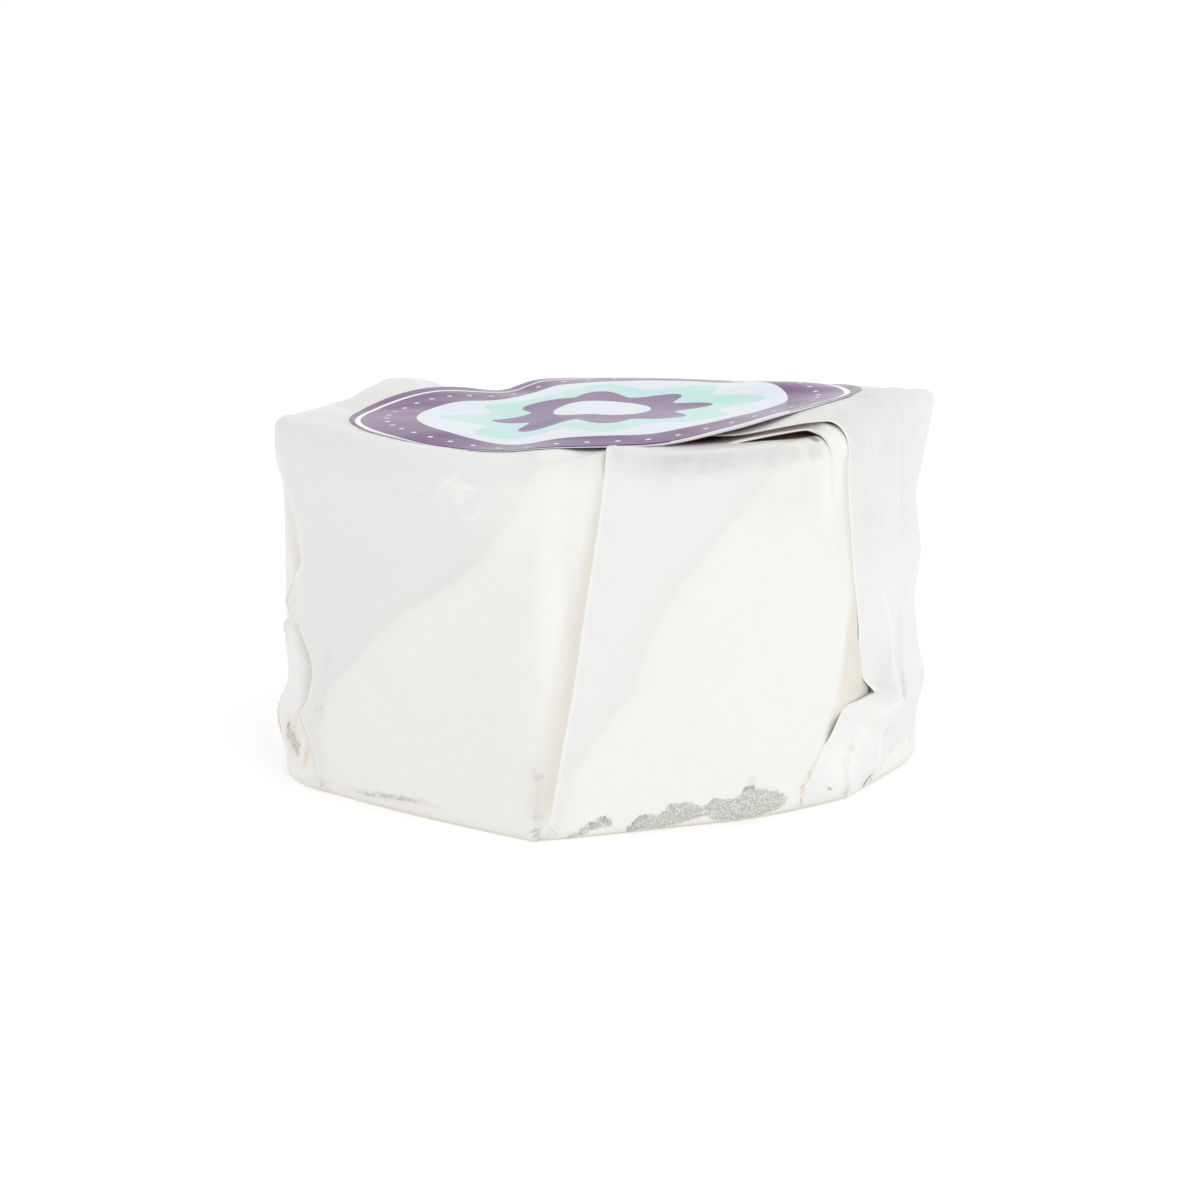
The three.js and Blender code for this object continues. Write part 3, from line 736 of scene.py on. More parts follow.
def grid_rows():
    """The rows as two arrays: the direction the paper faces, from -90 under the wheel through 0
    on the side to 90 on the top, and the share of the way along that zone."""
    under = np.linspace(0.94, 0, UNDER_ROWS)
    foot = np.arange(1, FOOT_ROWS + 1) / FOOT_ROWS
    side = np.arange(1, SIDE_ROWS + 1) / SIDE_ROWS
    rim = np.arange(1, RIM_ROWS + 1) / RIM_ROWS
    top = (np.arange(1, TOP_ROWS + 1) / TOP_ROWS) ** 1.7
    lean = np.concatenate([np.full(UNDER_ROWS, -90.0), -90 * (1 - foot), np.zeros(SIDE_ROWS),
                           90 * rim, np.full(TOP_ROWS, 90.0)])
    share = np.concatenate([under, np.zeros(FOOT_ROWS), side, np.zeros(RIM_ROWS), top])
    return lean[:, None], share[:, None]


LEAN, ROW_SHARE = grid_rows()
print("rows", len(LEAN))


def flat_top(x, y, mound_share):
    """Height of the paper's top: the plain top, the rim's rise, the gathered paper, and the mound
    of folds, which only the layers of the big flap take part in."""
    stack = STACK_HEIGHT * (1 - smooth(np.hypot(x, y), STACK_INNER, STACK_OUTER))
    mound = MOUND_HEIGHT * bell(np.hypot(x - MOUND_X, y - MOUND_Y), MOUND_WIDTH) * mound_share
    return top_height(x, y) + brim_rise(x, y) + TOP_LIE + stack + mound


# how closely the paper holds to the sticker's edge, by direction from the sticker's middle
GLUED_ANGLES, GLUED = (-180, -99, -95, -90, -64, -50, -45, 180), (1, 1, 0.5, 0, 0, 0.75, 1, 1)
GLUED_FALL = 3.2               # how far past the sticker's edge the paper comes down again
LOOSE_FROM, LOOSE_TO = -91.0, 0.0     # directions in which only the big flap is held


def held_by_sticker(x, y, z, flap):
    """Raises the paper to the sticker's underside where it is stuck, falling off outwards."""
    dx, dy = x - STICKER_X, y - STICKER_Y
    away = np.hypot(dx, dy)
    angle = np.degrees(np.arctan2(dy, dx))
    inward = np.minimum(away, STICKER_RADIUS) / np.maximum(away, 1e-6)
    thick = mix(STICKER_THICK, sticker_thickness(angle), smooth(away, STICKER_RADIUS - 4.0, STICKER_RADIUS))
    face = sticker_height(STICKER_X + dx * inward, STICKER_Y + dy * inward)
    past_edge = smooth(away, STICKER_RADIUS, STICKER_RADIUS + GLUED_FALL)
    share = np.interp(angle, GLUED_ANGLES, GLUED) * (1 - past_edge)
    share = share * np.where((angle > LOOSE_FROM) & (angle < LOOSE_TO), flap, 1.0)
    share = share * smooth(away, STICKER_RADIUS - 9.0, STICKER_RADIUS - 3.0)
    return mix(z, np.maximum(z, face - thick - CEILING), share)


def below_sticker(x, y, z):
    """Keeps heights clear of the sticker's underside, wherever it lies above."""
    dx, dy = x - STICKER_X, y - STICKER_Y
    angle = np.degrees(np.arctan2(dy, dx))
    outside = smooth(np.hypot(dx, dy), STICKER_RADIUS + 0.2, STICKER_RADIUS + 2.5)
    inner = smooth(np.hypot(dx, dy), STICKER_RADIUS - 4.0, STICKER_RADIUS)
    thick = mix(STICKER_THICK, sticker_thickness(angle), inner)
    spare = CEILING + 0.7 * (1 - smooth(np.hypot(dx, dy), STICKER_RADIUS - 12.0, STICKER_RADIUS - 5.0))
    return np.minimum(z, sticker_height(x, y) - thick - spare + 6.0 * outside)


# which columns take part in the big flap: its own panel and those after it, and the layers below
MOUND_SHARE = np.where(OWNER == 1, np.where(KIND == OVER, 0.0, np.where(KIND == UNDER, SHARE ** 3, 0.95)),
                       np.where(OWNER == 0, 0.0, 1.0))


def sheet_points():
    """Every point of the paper's outside. Each row is first placed on the plain profile: flat
    underside, quarter circle, side, quarter circle, top. The relief then moves it outwards."""
    lean, share = LEAN, ROW_SHARE
    across, up = np.cos(np.radians(lean)), np.sin(np.radians(lean))
    below = lean < 0
    foot_row = np.zeros((1, COLUMN_COUNT))
    rim_row = np.full((1, COLUMN_COUNT), PATH_TOP)
    foot_reach = hull_radius(sheet_angles(foot_row), foot_row)
    rim_angle = sheet_angles(rim_row)
    rim_reach = hull_radius(rim_angle, rim_row)
    foot_round = mix(FOOT_ROUND, CORNER_FOOT_ROUND, np.clip((foot_reach - SHEET) / STAND_OFF, 0, 1))
    rim_round = mix(RIM_ROUND, CORNER_RIM_ROUND, np.clip((rim_reach - SHEET) / STAND_OFF, 0, 1))
    brim_x = (rim_reach - rim_round) * np.cos(np.radians(rim_angle))
    brim_y = (rim_reach - rim_round) * np.sin(np.radians(rim_angle))
    brim = flat_top(brim_x, brim_y, MOUND_SHARE)
    shoulder = brim - rim_round
    height = np.where(below, foot_round * (1 + up), mix(foot_round, shoulder, share))
    height = np.where(lean > 0, shoulder + rim_round * up, height)
    on_top = (lean == 90) & (share > 0)
    way_in = (rim_reach - rim_round - MOUTH) * share
    path = np.where(on_top, PATH_TOP + way_in, np.clip(height * PATH_TOP / brim, 0, PATH_TOP))
    angle = sheet_angles(path)
    side = hull_radius(angle, np.minimum(path, PATH_TOP))
    flare = FLARE * (1 - smooth(path, 0, FLARE_PATH))
    radius = side + flare - np.where(below, foot_round, rim_round) * (1 - across)
    radius = np.where(on_top, side - rim_round - way_in, radius)
    radius = np.where(lean == -90, mix(side + flare - foot_round, 0, share), radius)
    lift, marks = sheet_relief(angle, path)
    marks["stand"] = np.where(on_top, 3.0, side + lift - SHEET)
    lift = np.where(below, lift * across, lift)
    radius = radius + lift * across
    radius = np.where((lean == 0) & (KIND != OVER), np.maximum(radius, INNERMOST), radius)
    x, y = radius * np.cos(np.radians(angle)), radius * np.sin(np.radians(angle))
    z = np.where(on_top, flat_top(x, y, MOUND_SHARE), height) + lift * np.maximum(up, 0)
    z = np.where(on_top, held_by_sticker(x, y, z, MOUND_SHARE), z)
    layer = np.where(KIND == OVER, 0.0, np.where(KIND == BETWEEN, 0.12, 0.24))
    z = np.where(lean > 0, np.minimum(z, below_sticker(x, y, z) - layer), z)
    return np.stack([x, y, z], axis=-1), angle, path, marks


outside, sheet_angle, sheet_path, sheet_marks = sheet_points()
print("paper from", outside.min((0, 1)).round(1), "to", outside.max((0, 1)).round(1))

# %% [markdown]
# ## Mould and stains
#
# Where the paper touches the rind near the floor, damp has drawn grey-blue mould up to it. It
# grows in patches with a ragged upper edge, darkest along that edge. Each patch is a stretch of
# angles with an upper and a lower border, and a few single spots are added. The shader breaks
# the borders up with fine noise, so here they only have to be in the right place.

# %% Mould
PATCHES = (                    # angles, heights of the upper and of the lower border there, darkness
    ((-97.0, -95.4, -93.6, -92.2, -90.6, -89.3, -88.2), (0.5, 1.2, 2.2, 2.9, 3.1, 2.4, 0.6),
     (0.0, 0.3, 0.9, 1.4, 1.6, 1.2, 0.3), (0.3, 0.5, 0.7, 1.0, 1.0, 0.8, 0.3)),
    ((-87.4, -86.7, -84.8, -82.3, -80.9, -79.7, -77.5, -75.6, -73.7, -72.4, -71.5, -69.5, -67.0, -65.9, -65.0,
      -63.0, -61.6, -60.0, -57.5, -55.0),
     (0.5, 1.4, 2.8, 2.5, 2.7, 4.1, 3.9, 3.9, 3.1, 3.3, 4.4, 3.9, 3.7, 4.4, 5.5, 5.2, 4.6, 4.3, 3.6, 2.2),
     (0.1, 0.2, 0.5, 0.4, 0.4, 0.6, 0.8, 1.3, 1.5, 1.2, 0.8, 0.5, 0.4, 0.4, 0.5, 0.5, 0.6, 0.9, 1.2, 1.3),
     (0.6, 1.0, 0.9, 0.3, 0.4, 0.8, 0.5, 0.5, 0.1, 0.5, 0.9, 0.3, 0.2, 0.8, 1.0, 0.8, 0.3, 0.2, 0.1, 0.0)),
    ((-160.4, -159.4, -158.6, -157.8, -157.0, -156.2, -154.4), (6.0, 8.8, 9.4, 7.6, 8.0, 7.0, 4.4),
     (4.6, 6.0, 6.6, 5.0, 4.6, 4.0, 3.2), (0.5, 1.0, 0.7, 0.2, 1.0, 0.8, 0.3)),
    ((-140, -137.5, -134.5, -132, -130, -127.5, -124, -119), (1.6, 2.0, 2.2, 2.6, 2.4, 2.9, 2.8, 2.5),
     (1.2, 1.5, 1.5, 1.8, 1.8, 2.2, 2.3, 2.1), (0.2, 0.5, 0.2, 0.6, 0.2, 0.5, 0.1, 0.0)),
)
SPOTS = (                      # angle, path, half size round and up in millimetres, strength
    (-85.5, 11.2, 0.25, 0.25, 0.5), (-100.9, 2.4, 0.5, 1.0, 0.6), (-124.7, 10.2, 0.4, 0.3, 0.4),
    (-46.6, 2.3, 1.1, 0.8, 0.75), (-34.3, 0.9, 0.9, 0.6, 1.2), (-32.0, 1.5, 0.8, 0.7, 1.3),
    (-27.5, 1.9, 1.0, 0.5, 0.7), (-157.2, 8.2, 0.5, 1.2, 0.7), (-155.6, 5.6, 0.4, 1.6, 0.8),
    # the last spot is painted shade: dark, in the gap at the flap's corner below the sticker
    (-48.4, 56.9, 0.8, 0.6, 1.4),
)
STAINS = (                     # tan and orange: angle, path, half sizes, strength
    (-147.5, 1.8, 4.2, 1.1, 0.36), (-153.4, 4.4, 0.7, 2.4, 0.75), (-138.0, 1.6, 6.0, 0.8, 0.36),
    (-129.0, 2.0, 5.0, 0.9, 0.36), (-158.5, 6.6, 2.8, 4.0, 0.60), (-164.5, 7.0, 1.0, 3.4, 0.7),
    (-121.0, 2.3, 4.0, 0.6, 0.34), (-118.5, 14.0, 9.0, 8.0, 0.10),
    (-52.7, 3.3, 0.35, 1.0, 1.3), (-50.8, 5.4, 0.3, 1.4, 1.0), (-33.5, 0.8, 2.0, 0.6, 0.4),
    (-12.0, 3.6, 0.8, 1.2, 0.7),
    (-63.6, 5.9, 1.3, 0.9, 0.45), (-118.0, 12.0, 5.0, 2.0, 0.16), (-157.0, 9.5, 0.8, 1.6, 0.6),
    (-82.0, 0.4, 12.0, 0.35, 0.35), (-66.0, 0.5, 10.0, 0.4, 0.4), (-112.0, 23.0, 3.5, 4.0, 0.12),
    (-124.0, 20.0, 2.0, 3.0, 0.12), (-114.0, 13.0, 3.0, 1.6, 0.14), (-56.0, 33.0, 3.0, 4.0, 0.10),
    # the first stain on this line is painted shade, in the same gap at the flap's corner
    (-49.0, 56.6, 1.2, 0.7, 0.3), (-80.0, 46.0, 2.5, 4.5, 0.12), (-47.6, 14.8, 1.0, 0.4, 0.3),
)
# besides the greyer layers, these paint shade under the rim, in hollows and beside edges
SHADES = (                     # cool grey of layers below, plus painted shade: angle, path, half sizes, strength
    (-74.0, 55.6, 14.0, 1.7, 0.74), (-88.0, 55.8, 4.0, 1.5, 0.4), (-59.0, 55.4, 8.0, 1.6, 0.66),
    (-50.5, 55.3, 2.4, 1.6, 0.6),
    (-96.4, 36.0, 1.2, 14.0, 0.16), (-172.0, 62.0, 12.0, 7.0, 0.18),
    (-56.0, 50.0, 9.0, 5.0, 0.22), (-81.0, 53.5, 2.2, 1.4, 0.22), (-38.0, 58.0, 12.0, 9.0, 0.34),
    (-22.0, 56.0, 14.0, 12.0, 0.34), (-34.0, 44.0, 10.0, 9.0, 0.22), (-16.0, 42.0, 12.0, 9.0, 0.16),
    (-150.0, 57.0, 16.0, 4.0, 0.16), (-24.5, 16.0, 3.2, 3.4, 0.16), (162.0, 66.0, 14.0, 8.0, 0.42),
)
PAINTED_LIGHT_SPOTS = (                      # painted light, warm white: where the paper catches the light, and where it is thinner
    (-106.0, 50.0, 6.0, 6.0, 0.5), (-100.0, 36.0, 2.2, 16.0, 0.4), (-47.5, 50.0, 0.9, 5.0, 0.6),
    (-34.0, 8.5, 7.0, 3.6, 0.6), (-24.0, 11.4, 4.5, 0.7, 0.6), (-70.0, 57.2, 12.0, 0.5, 0.5),
    (-42.0, 6.5, 5.0, 4.5, 0.8), (-117.0, 52.0, 3.2, 2.0, 0.35), (-104.0, 54.0, 4.0, 1.4, 0.45),
    (-120.0, 53.4, 1.0, 0.8, 0.5), (-114.2, 48.4, 0.8, 0.5, 0.4),
)


def spot_field(table, angle, path):
    """The strongest of a table of soft spots: strength exp(-(round / half)^2 - (up / half)^2)."""
    field = np.zeros(path.shape)
    for where, at, half_round, half_up, strength in table:
        round_off = turn(where, angle) * math.radians(RING)
        field = np.maximum(field, strength * bell(round_off, half_round) * bell(path - at, half_up))
    return field


def mould_field(angle, path):
    """How much mould shows, and how dark the upper border of its patch is there."""
    field = spot_field(SPOTS, angle, path)
    border = field.copy()
    for angles, upper, lower, darkness in PATCHES:
        top, bottom = np.interp(angle, angles, upper), np.interp(angle, angles, lower)
        start, end = angles[0], angles[-1]
        along = smooth(angle, start - 0.4, start + 0.4) * (1 - smooth(angle, end - 2.5, end))
        inside = smooth(path, bottom - 0.7, bottom + 0.4) * (1 - smooth(path, top - 0.7, top + 0.5)) * along
        field = np.maximum(field, inside)
        border = np.maximum(border, np.interp(angle, angles, darkness) * along * bell(path - top + 0.3, 0.8))
    return field, border


flat_angle = turn(0, sheet_angle)
sheet_marks["mould"], sheet_marks["border"] = mould_field(flat_angle, sheet_path)
sheet_marks["stain"] = spot_field(STAINS, flat_angle, sheet_path)
sheet_marks["shade"] = spot_field(SHADES, flat_angle, sheet_path)
sheet_marks["painted_light"] = spot_field(PAINTED_LIGHT_SPOTS, flat_angle, sheet_path)
sheet_marks["foot"] = 1 - smooth(sheet_path, 0.2, 1.6)
print("points with mould", int((sheet_marks["mould"] > 0.5).sum()))

# %% [markdown]
# Inside the outer sheet runs a plain wall, just clear of the cheese. It closes the shell, and
# nobody sees it.

# %% The wall inside and the finished paper
WALL = 48.1                    # radius of the inside wall, just clear of the cheese
WALL_FOOT, WALL_DROP = 0.45, 1.0
INSIDE_ROWS = ((MOUTH, "top"), (28.0, "top"), (44.0, "top"), (WALL - 1.2, "rim"), (WALL, "shoulder"),
               (WALL, "foot"), (WALL - 1.2, "floor"), (20.0, "floor"))


def inside_points():
    """The plain wall inside: in from the mouth's edge, down beside the cheese and under it."""
    angle = np.radians(sheet_angles(np.zeros((1, COLUMN_COUNT)))[0])
    rows = []
    for radius, zone in INSIDE_ROWS:
        x, y = radius * np.cos(angle), radius * np.sin(angle)
        top = top_height(x, y) - WALL_DROP
        heights = {"top": top, "rim": top - 0.8, "shoulder": top - 3.0,
                   "foot": np.full(x.shape, WALL_FOOT + 1.4), "floor": np.full(x.shape, WALL_FOOT)}
        rows.append(np.stack([x, y, heights[zone]], axis=-1))
    return np.array(rows)


def paper_piece():
    """The closed shell: the underside's middle, the outside rows, the inside rows and the
    floor's middle. The upright edges along each free edge are marked sharp, so that the shading
    doesn't run round them, and every mark becomes a layer for the finish."""
    rows = np.concatenate([outside, inside_points()])
    piece = closed_piece("paper_wrap_folded", rows, (0, 0, 0), (0, 0, WALL_FOOT))
    ends = np.empty(2 * len(piece.data.edges), np.int32)
    piece.data.edges.foreach_get("vertices", ends)
    first_end, second_end = ends.reshape(-1, 2).T
    free_edge = (KIND == OVER) & (SHARE == 0)
    same_column = first_end % COLUMN_COUNT == second_end % COLUMN_COUNT
    on_outside = np.maximum(first_end, second_end) < outside.size // 3
    sharp = piece.data.attributes.new("sharp_edge", "BOOLEAN", "EDGE")
    sharp.data.foreach_set("value", same_column & on_outside & free_edge[first_end % COLUMN_COUNT])
    hidden = np.zeros(len(piece.data.vertices) - outside.size // 3)
    for name, values in sheet_marks.items():
        add_layer(piece, name, np.concatenate([np.broadcast_to(values, sheet_path.shape).ravel(), hidden]))
    return piece


paper = paper_piece()

# %% [markdown]
# Below the big flap at the front right lies one more fold of the same sheet. It shows as a thin
# band along the rim and as a short column beside the flap's edge. It is a thin closed strip that
# follows the panel below it.

# %% The tuck under the flap
TUCK_ACROSS, TUCK_ALONG, TUCK_THICK = 16, 90, 0.14
# along its free edge: angle, path and lift there, and the same where it ends below the flap
TUCK = (
    (-74.0, 60.0, -0.6, -70.0, 66.0, -0.3), (-68.0, 59.4, 0.1, -62.0, 66.0, 0.3),
    (-63.0, 58.9, 0.80, -56.0, 66.0, 1.0), (-57.0, 58.5, 1.22, -50.0, 65.0, 1.95),
    (-51.5, 58.3, 1.38, -45.0, 64.0, 2.4), (-48.0, 58.0, 1.38, -41.0, 62.0, 2.6),
    (-47.0, 57.5, 0.95, -40.0, 60.0, 2.3), (-46.8, 56.4, 0.38, -40.5, 57.5, 1.3),
    (-46.6, 54.0, 0.26, -41.0, 54.0, 0.4), (-46.6, 51.0, 0.22, -41.0, 51.0, 0.1),
    (-46.3, 48.6, 0.12, -41.0, 48.0, 0.1), (-45.6, 45.0, -0.25, -41.0, 45.0, -0.1),
)


def on_panel(angle, path, lift):
    """Points in space from an angle, a path and a lift over the single layer, as in the grid."""
    side = hull_radius(angle, np.minimum(path, PATH_TOP))
    reach = hull_radius(angle, np.full(path.shape, PATH_TOP))
    corner = mix(RIM_ROUND, CORNER_RIM_ROUND, np.clip((reach - SHEET) / STAND_OFF, 0, 1))
    cos, sin = np.cos(np.radians(angle)), np.sin(np.radians(angle))
    brim = flat_top((reach - corner) * cos, (reach - corner) * sin, 0.0)
    height = path * brim / PATH_TOP
    up = np.clip((height - brim + corner) / corner, 0, 1)
    across = np.sqrt(1 - up ** 2)
    radius = side - corner * (1 - across) - np.maximum(path - PATH_TOP, 0) + lift * across
    x, y = radius * cos, radius * sin
    z = np.where(path > PATH_TOP, flat_top(x, y, 0.0), np.minimum(height, brim)) + lift * up
    return np.stack([x, y, z], axis=-1)


def tuck_piece():
    """A strip: its face from the free edge in, then its underside back, closed at both ends."""
    knots = np.array(TUCK)
    along = np.linspace(0, len(TUCK) - 1, TUCK_ALONG)
    places = np.arange(len(TUCK))
    rows = np.array([sum(np.interp(along + step, places, column) for step in (-0.3, 0, 0.3)) / 3
                     for column in knots.T])[:, :, None]
    share = np.linspace(0, 1, TUCK_ACROSS)[None, :]
    angle, path = mix(rows[0], rows[3], share), mix(rows[1], rows[4], share)
    lift = mix(rows[2], rows[5], smooth(share, 0.05, 0.62))
    lift = lift - 0.25 * bell(share, 0.03)
    face = on_panel(angle, path, lift)
    under = on_panel(angle, path, lift - TUCK_THICK)[:, ::-1]
    face[..., 2] = below_sticker(face[..., 0], face[..., 1], face[..., 2])
    rings = np.concatenate([face, under], axis=1)[:, ::-1]
    piece = closed_piece("paper_tuck", rings, rings[0].mean(0), rings[-1].mean(0))
    underside = np.tile(np.arange(2 * TUCK_ACROSS) < TUCK_ACROSS, TUCK_ALONG)
    # its underside gets the painted brown shade
    add_layer(piece, "deep", np.concatenate([underside, [0, 0]]))
    return piece


tuck = tuck_piece()

# %% [markdown]
# ## The cheese
#
# The wheel itself is a drum with a slumped upper edge. Its rind is soft and a little uneven,
# so the plain profile gets low bumps. Nothing of it is seen past the paper, but it is there
# for whoever unwraps the model.

# %% Cheese
CHEESE_RADIUS = 47.9
CHEESE_FOOT, CHEESE_DROP = 0.8, 1.4
CHEESE_ROUND_FOOT, CHEESE_ROUND_TOP = 2.2, 3.6
CHEESE_COLUMNS = 240
BUMP = 0.09                    # height of the rind's bumps


def cheese_piece():
    """A stack of rings: underside, quarter circle, side, quarter circle, top."""
    angle = np.radians(np.arange(CHEESE_COLUMNS) * 360 / CHEESE_COLUMNS)[None, :]
    lean = np.radians(np.concatenate([np.full(10, -90.0), np.linspace(-80, 0, 8), np.zeros(44),
                                      np.linspace(10, 90, 9), np.full(22, 90.0)]))[:, None]
    share = np.concatenate([np.linspace(0.05, 1, 10), np.ones(8), np.linspace(0, 1, 44),
                            np.ones(9), np.linspace(0.97, 0.02, 22)])[:, None]
    across, up = np.cos(lean), np.sin(lean)
    below = lean < 0
    corner = np.where(below, CHEESE_ROUND_FOOT, CHEESE_ROUND_TOP)
    radius = CHEESE_RADIUS - corner * (1 - across)
    flat = (lean == lean.min()) | (lean == lean.max())
    radius = np.where(flat, radius * share, radius) * np.ones(angle.shape)
    x, y = radius * np.cos(angle), radius * np.sin(angle)
    top = top_height(x, y) - CHEESE_DROP
    foot = CHEESE_FOOT + CHEESE_ROUND_FOOT * (1 + up)
    side = mix(CHEESE_FOOT + CHEESE_ROUND_FOOT, top - CHEESE_ROUND_TOP, share)
    z = np.where(below, foot, np.where(lean == 0, side, top - CHEESE_ROUND_TOP * (1 - up)))
    bump = BUMP * (waves(x, y, z, 7.0, 16, 3) + 0.6 * waves(x, y, z, 2.6, 16, 4)) - 2 * BUMP
    x = x * (1 + bump * across / CHEESE_RADIUS)
    y = y * (1 + bump * across / CHEESE_RADIUS)
    z = z + bump * np.maximum(up, 0)
    peak = float(top_height(0.0, 0.0)) - CHEESE_DROP - 2 * BUMP
    return closed_piece("cheese_in_rind", np.stack([x, y, z], axis=-1), (0, 0, CHEESE_FOOT), (0, 0, peak))


cheese = cheese_piece()

# %% [markdown]
# ## The sticker
#
# A laminated paper disc, stiffer than the wrap. It follows the top loosely, dips into the
# furrow, and its edge has sprung clear of the thick folds at the front right. It is a disc on
# a polar grid with a face, an underside and a thin edge.

# %% Sticker
STICKER_RINGS, STICKER_COLUMNS = 64, 320


def sticker_piece():
    """The disc: rings of its underside from the middle out, then of its face from the edge in."""
    share = np.concatenate([np.arange(1, STICKER_RINGS + 1), np.arange(STICKER_RINGS, 0, -1)]) / STICKER_RINGS
    face = np.concatenate([np.zeros(STICKER_RINGS), np.ones(STICKER_RINGS)])[:, None]
    angle = np.radians(np.arange(STICKER_COLUMNS) * 360 / STICKER_COLUMNS)[None, :]
    x = STICKER_X + STICKER_RADIUS * share[:, None] * np.cos(angle)
    y = STICKER_Y + STICKER_RADIUS * share[:, None] * np.sin(angle)
    thick = sticker_thickness(np.degrees(angle)) * smooth(share[:, None], 0.9, 1.0)
    z = sticker_height(x, y) - np.maximum(thick, STICKER_THICK) * (1 - face)
    middle = float(sticker_height(np.array(STICKER_X), np.array(STICKER_Y)))
    piece = closed_piece("label_sticker", np.stack([x, y, z], axis=-1),
                         (STICKER_X, STICKER_Y, middle - STICKER_THICK), (STICKER_X, STICKER_Y, middle))
    under = np.broadcast_to(1 - face, x.shape).ravel()
    add_layer(piece, "under", np.concatenate([under, [1.0, 0.0]]))
    return piece


sticker = sticker_piece()

# %% [markdown]
# ## Finishes
#
# A material is a small network of nodes. One helper adds a node, sets it up and links it, so
# each finish below reads as a list of steps. Colours are written as sRGB hex values and turned
# to linear once.

# %% Material helpers


def linear(hex_colour):
    """sRGB hex to linear RGBA: c / 12.92 for dark values, else ((c + 0.055) / 1.055)^2.4."""
    channels = [int(hex_colour[i:i + 2], 16) / 255 for i in (1, 3, 5)]
    return [c / 12.92 if c <= 0.04045 else ((c + 0.055) / 1.055) ** 2.4 for c in channels] + [1.0]


def node(tree, kind, settings=None, **inputs):
    """Adds a node, sets its properties, and fills or links its inputs. An input's name has _
    for each space, or is _0, _1 for its place. A value that is a socket is linked."""
    made = tree.nodes.new(kind)
    for key, value in (settings or {}).items():
        setattr(made, key, value)
    for key, value in inputs.items():
        socket = made.inputs[int(key[1:])] if key[0] == "_" else made.inputs[key.replace("_", " ")]
        if isinstance(value, bpy.types.NodeSocket):
            tree.links.new(value, socket)
        else:
            socket.default_value = value
    return made


def new_material(name):
    """A material with an empty network and its output node."""
    material = bpy.data.materials.new(name)
    material.use_nodes = True
    material.node_tree.nodes.clear()
    return material, material.node_tree, material.node_tree.nodes.new("ShaderNodeOutputMaterial")


def finish_with(tree, output, shader):
    """Links a shader to the material's output."""
    tree.links.new(shader.outputs[0], output.inputs["Surface"])


def calc(tree, operation, first, second=0.0, third=0.0):
    """One Math node's result."""
    return node(tree, "ShaderNodeMath", {"operation": operation}, _0=first, _1=second, _2=third).outputs[0]


def ramp(tree, value, low, high):
    """A Map Range node: 0 below low, 1 above high, smooth between them."""
    return node(tree, "ShaderNodeMapRange", {"interpolation_type": "SMOOTHSTEP"},
                Value=value, From_Min=low, From_Max=high).outputs[0]


def blend(tree, share, first, second):
    """A colour mix of two colours, each a socket or an RGBA list."""
    made = node(tree, "ShaderNodeMix", {"data_type": "RGBA"}, _0=share, _6=first, _7=second)
    return made.outputs[2]


def noise(tree, vector, millimetres, detail=3.0, roughness=0.5):
    """Noise whose blobs are about so many millimetres wide, on Object coordinates."""
    return node(tree, "ShaderNodeTexNoise", {}, Vector=vector, Scale=1 / (millimetres * MM),
                Detail=detail, Roughness=roughness).outputs["Fac"]


# %% [markdown]
# ### Waxed paper
#
# The wrap is bleached two-ply paper, thinly waxed: white, satin, and a little see-through. In
# one layer on the cheese it takes the cheese's warm cream. In three layers it is a cooler, greyer
# white. Along the foot the rind's blue-grey mould shows through wherever the paper touches it.
# Shade in grooves and cavities and highlights on edges and creases are painted into its colour.

# %% Waxed paper


def attribute(tree, name):
    """The value of a number stored at the points."""
    return node(tree, "ShaderNodeAttribute", {"attribute_name": name}).outputs["Fac"]


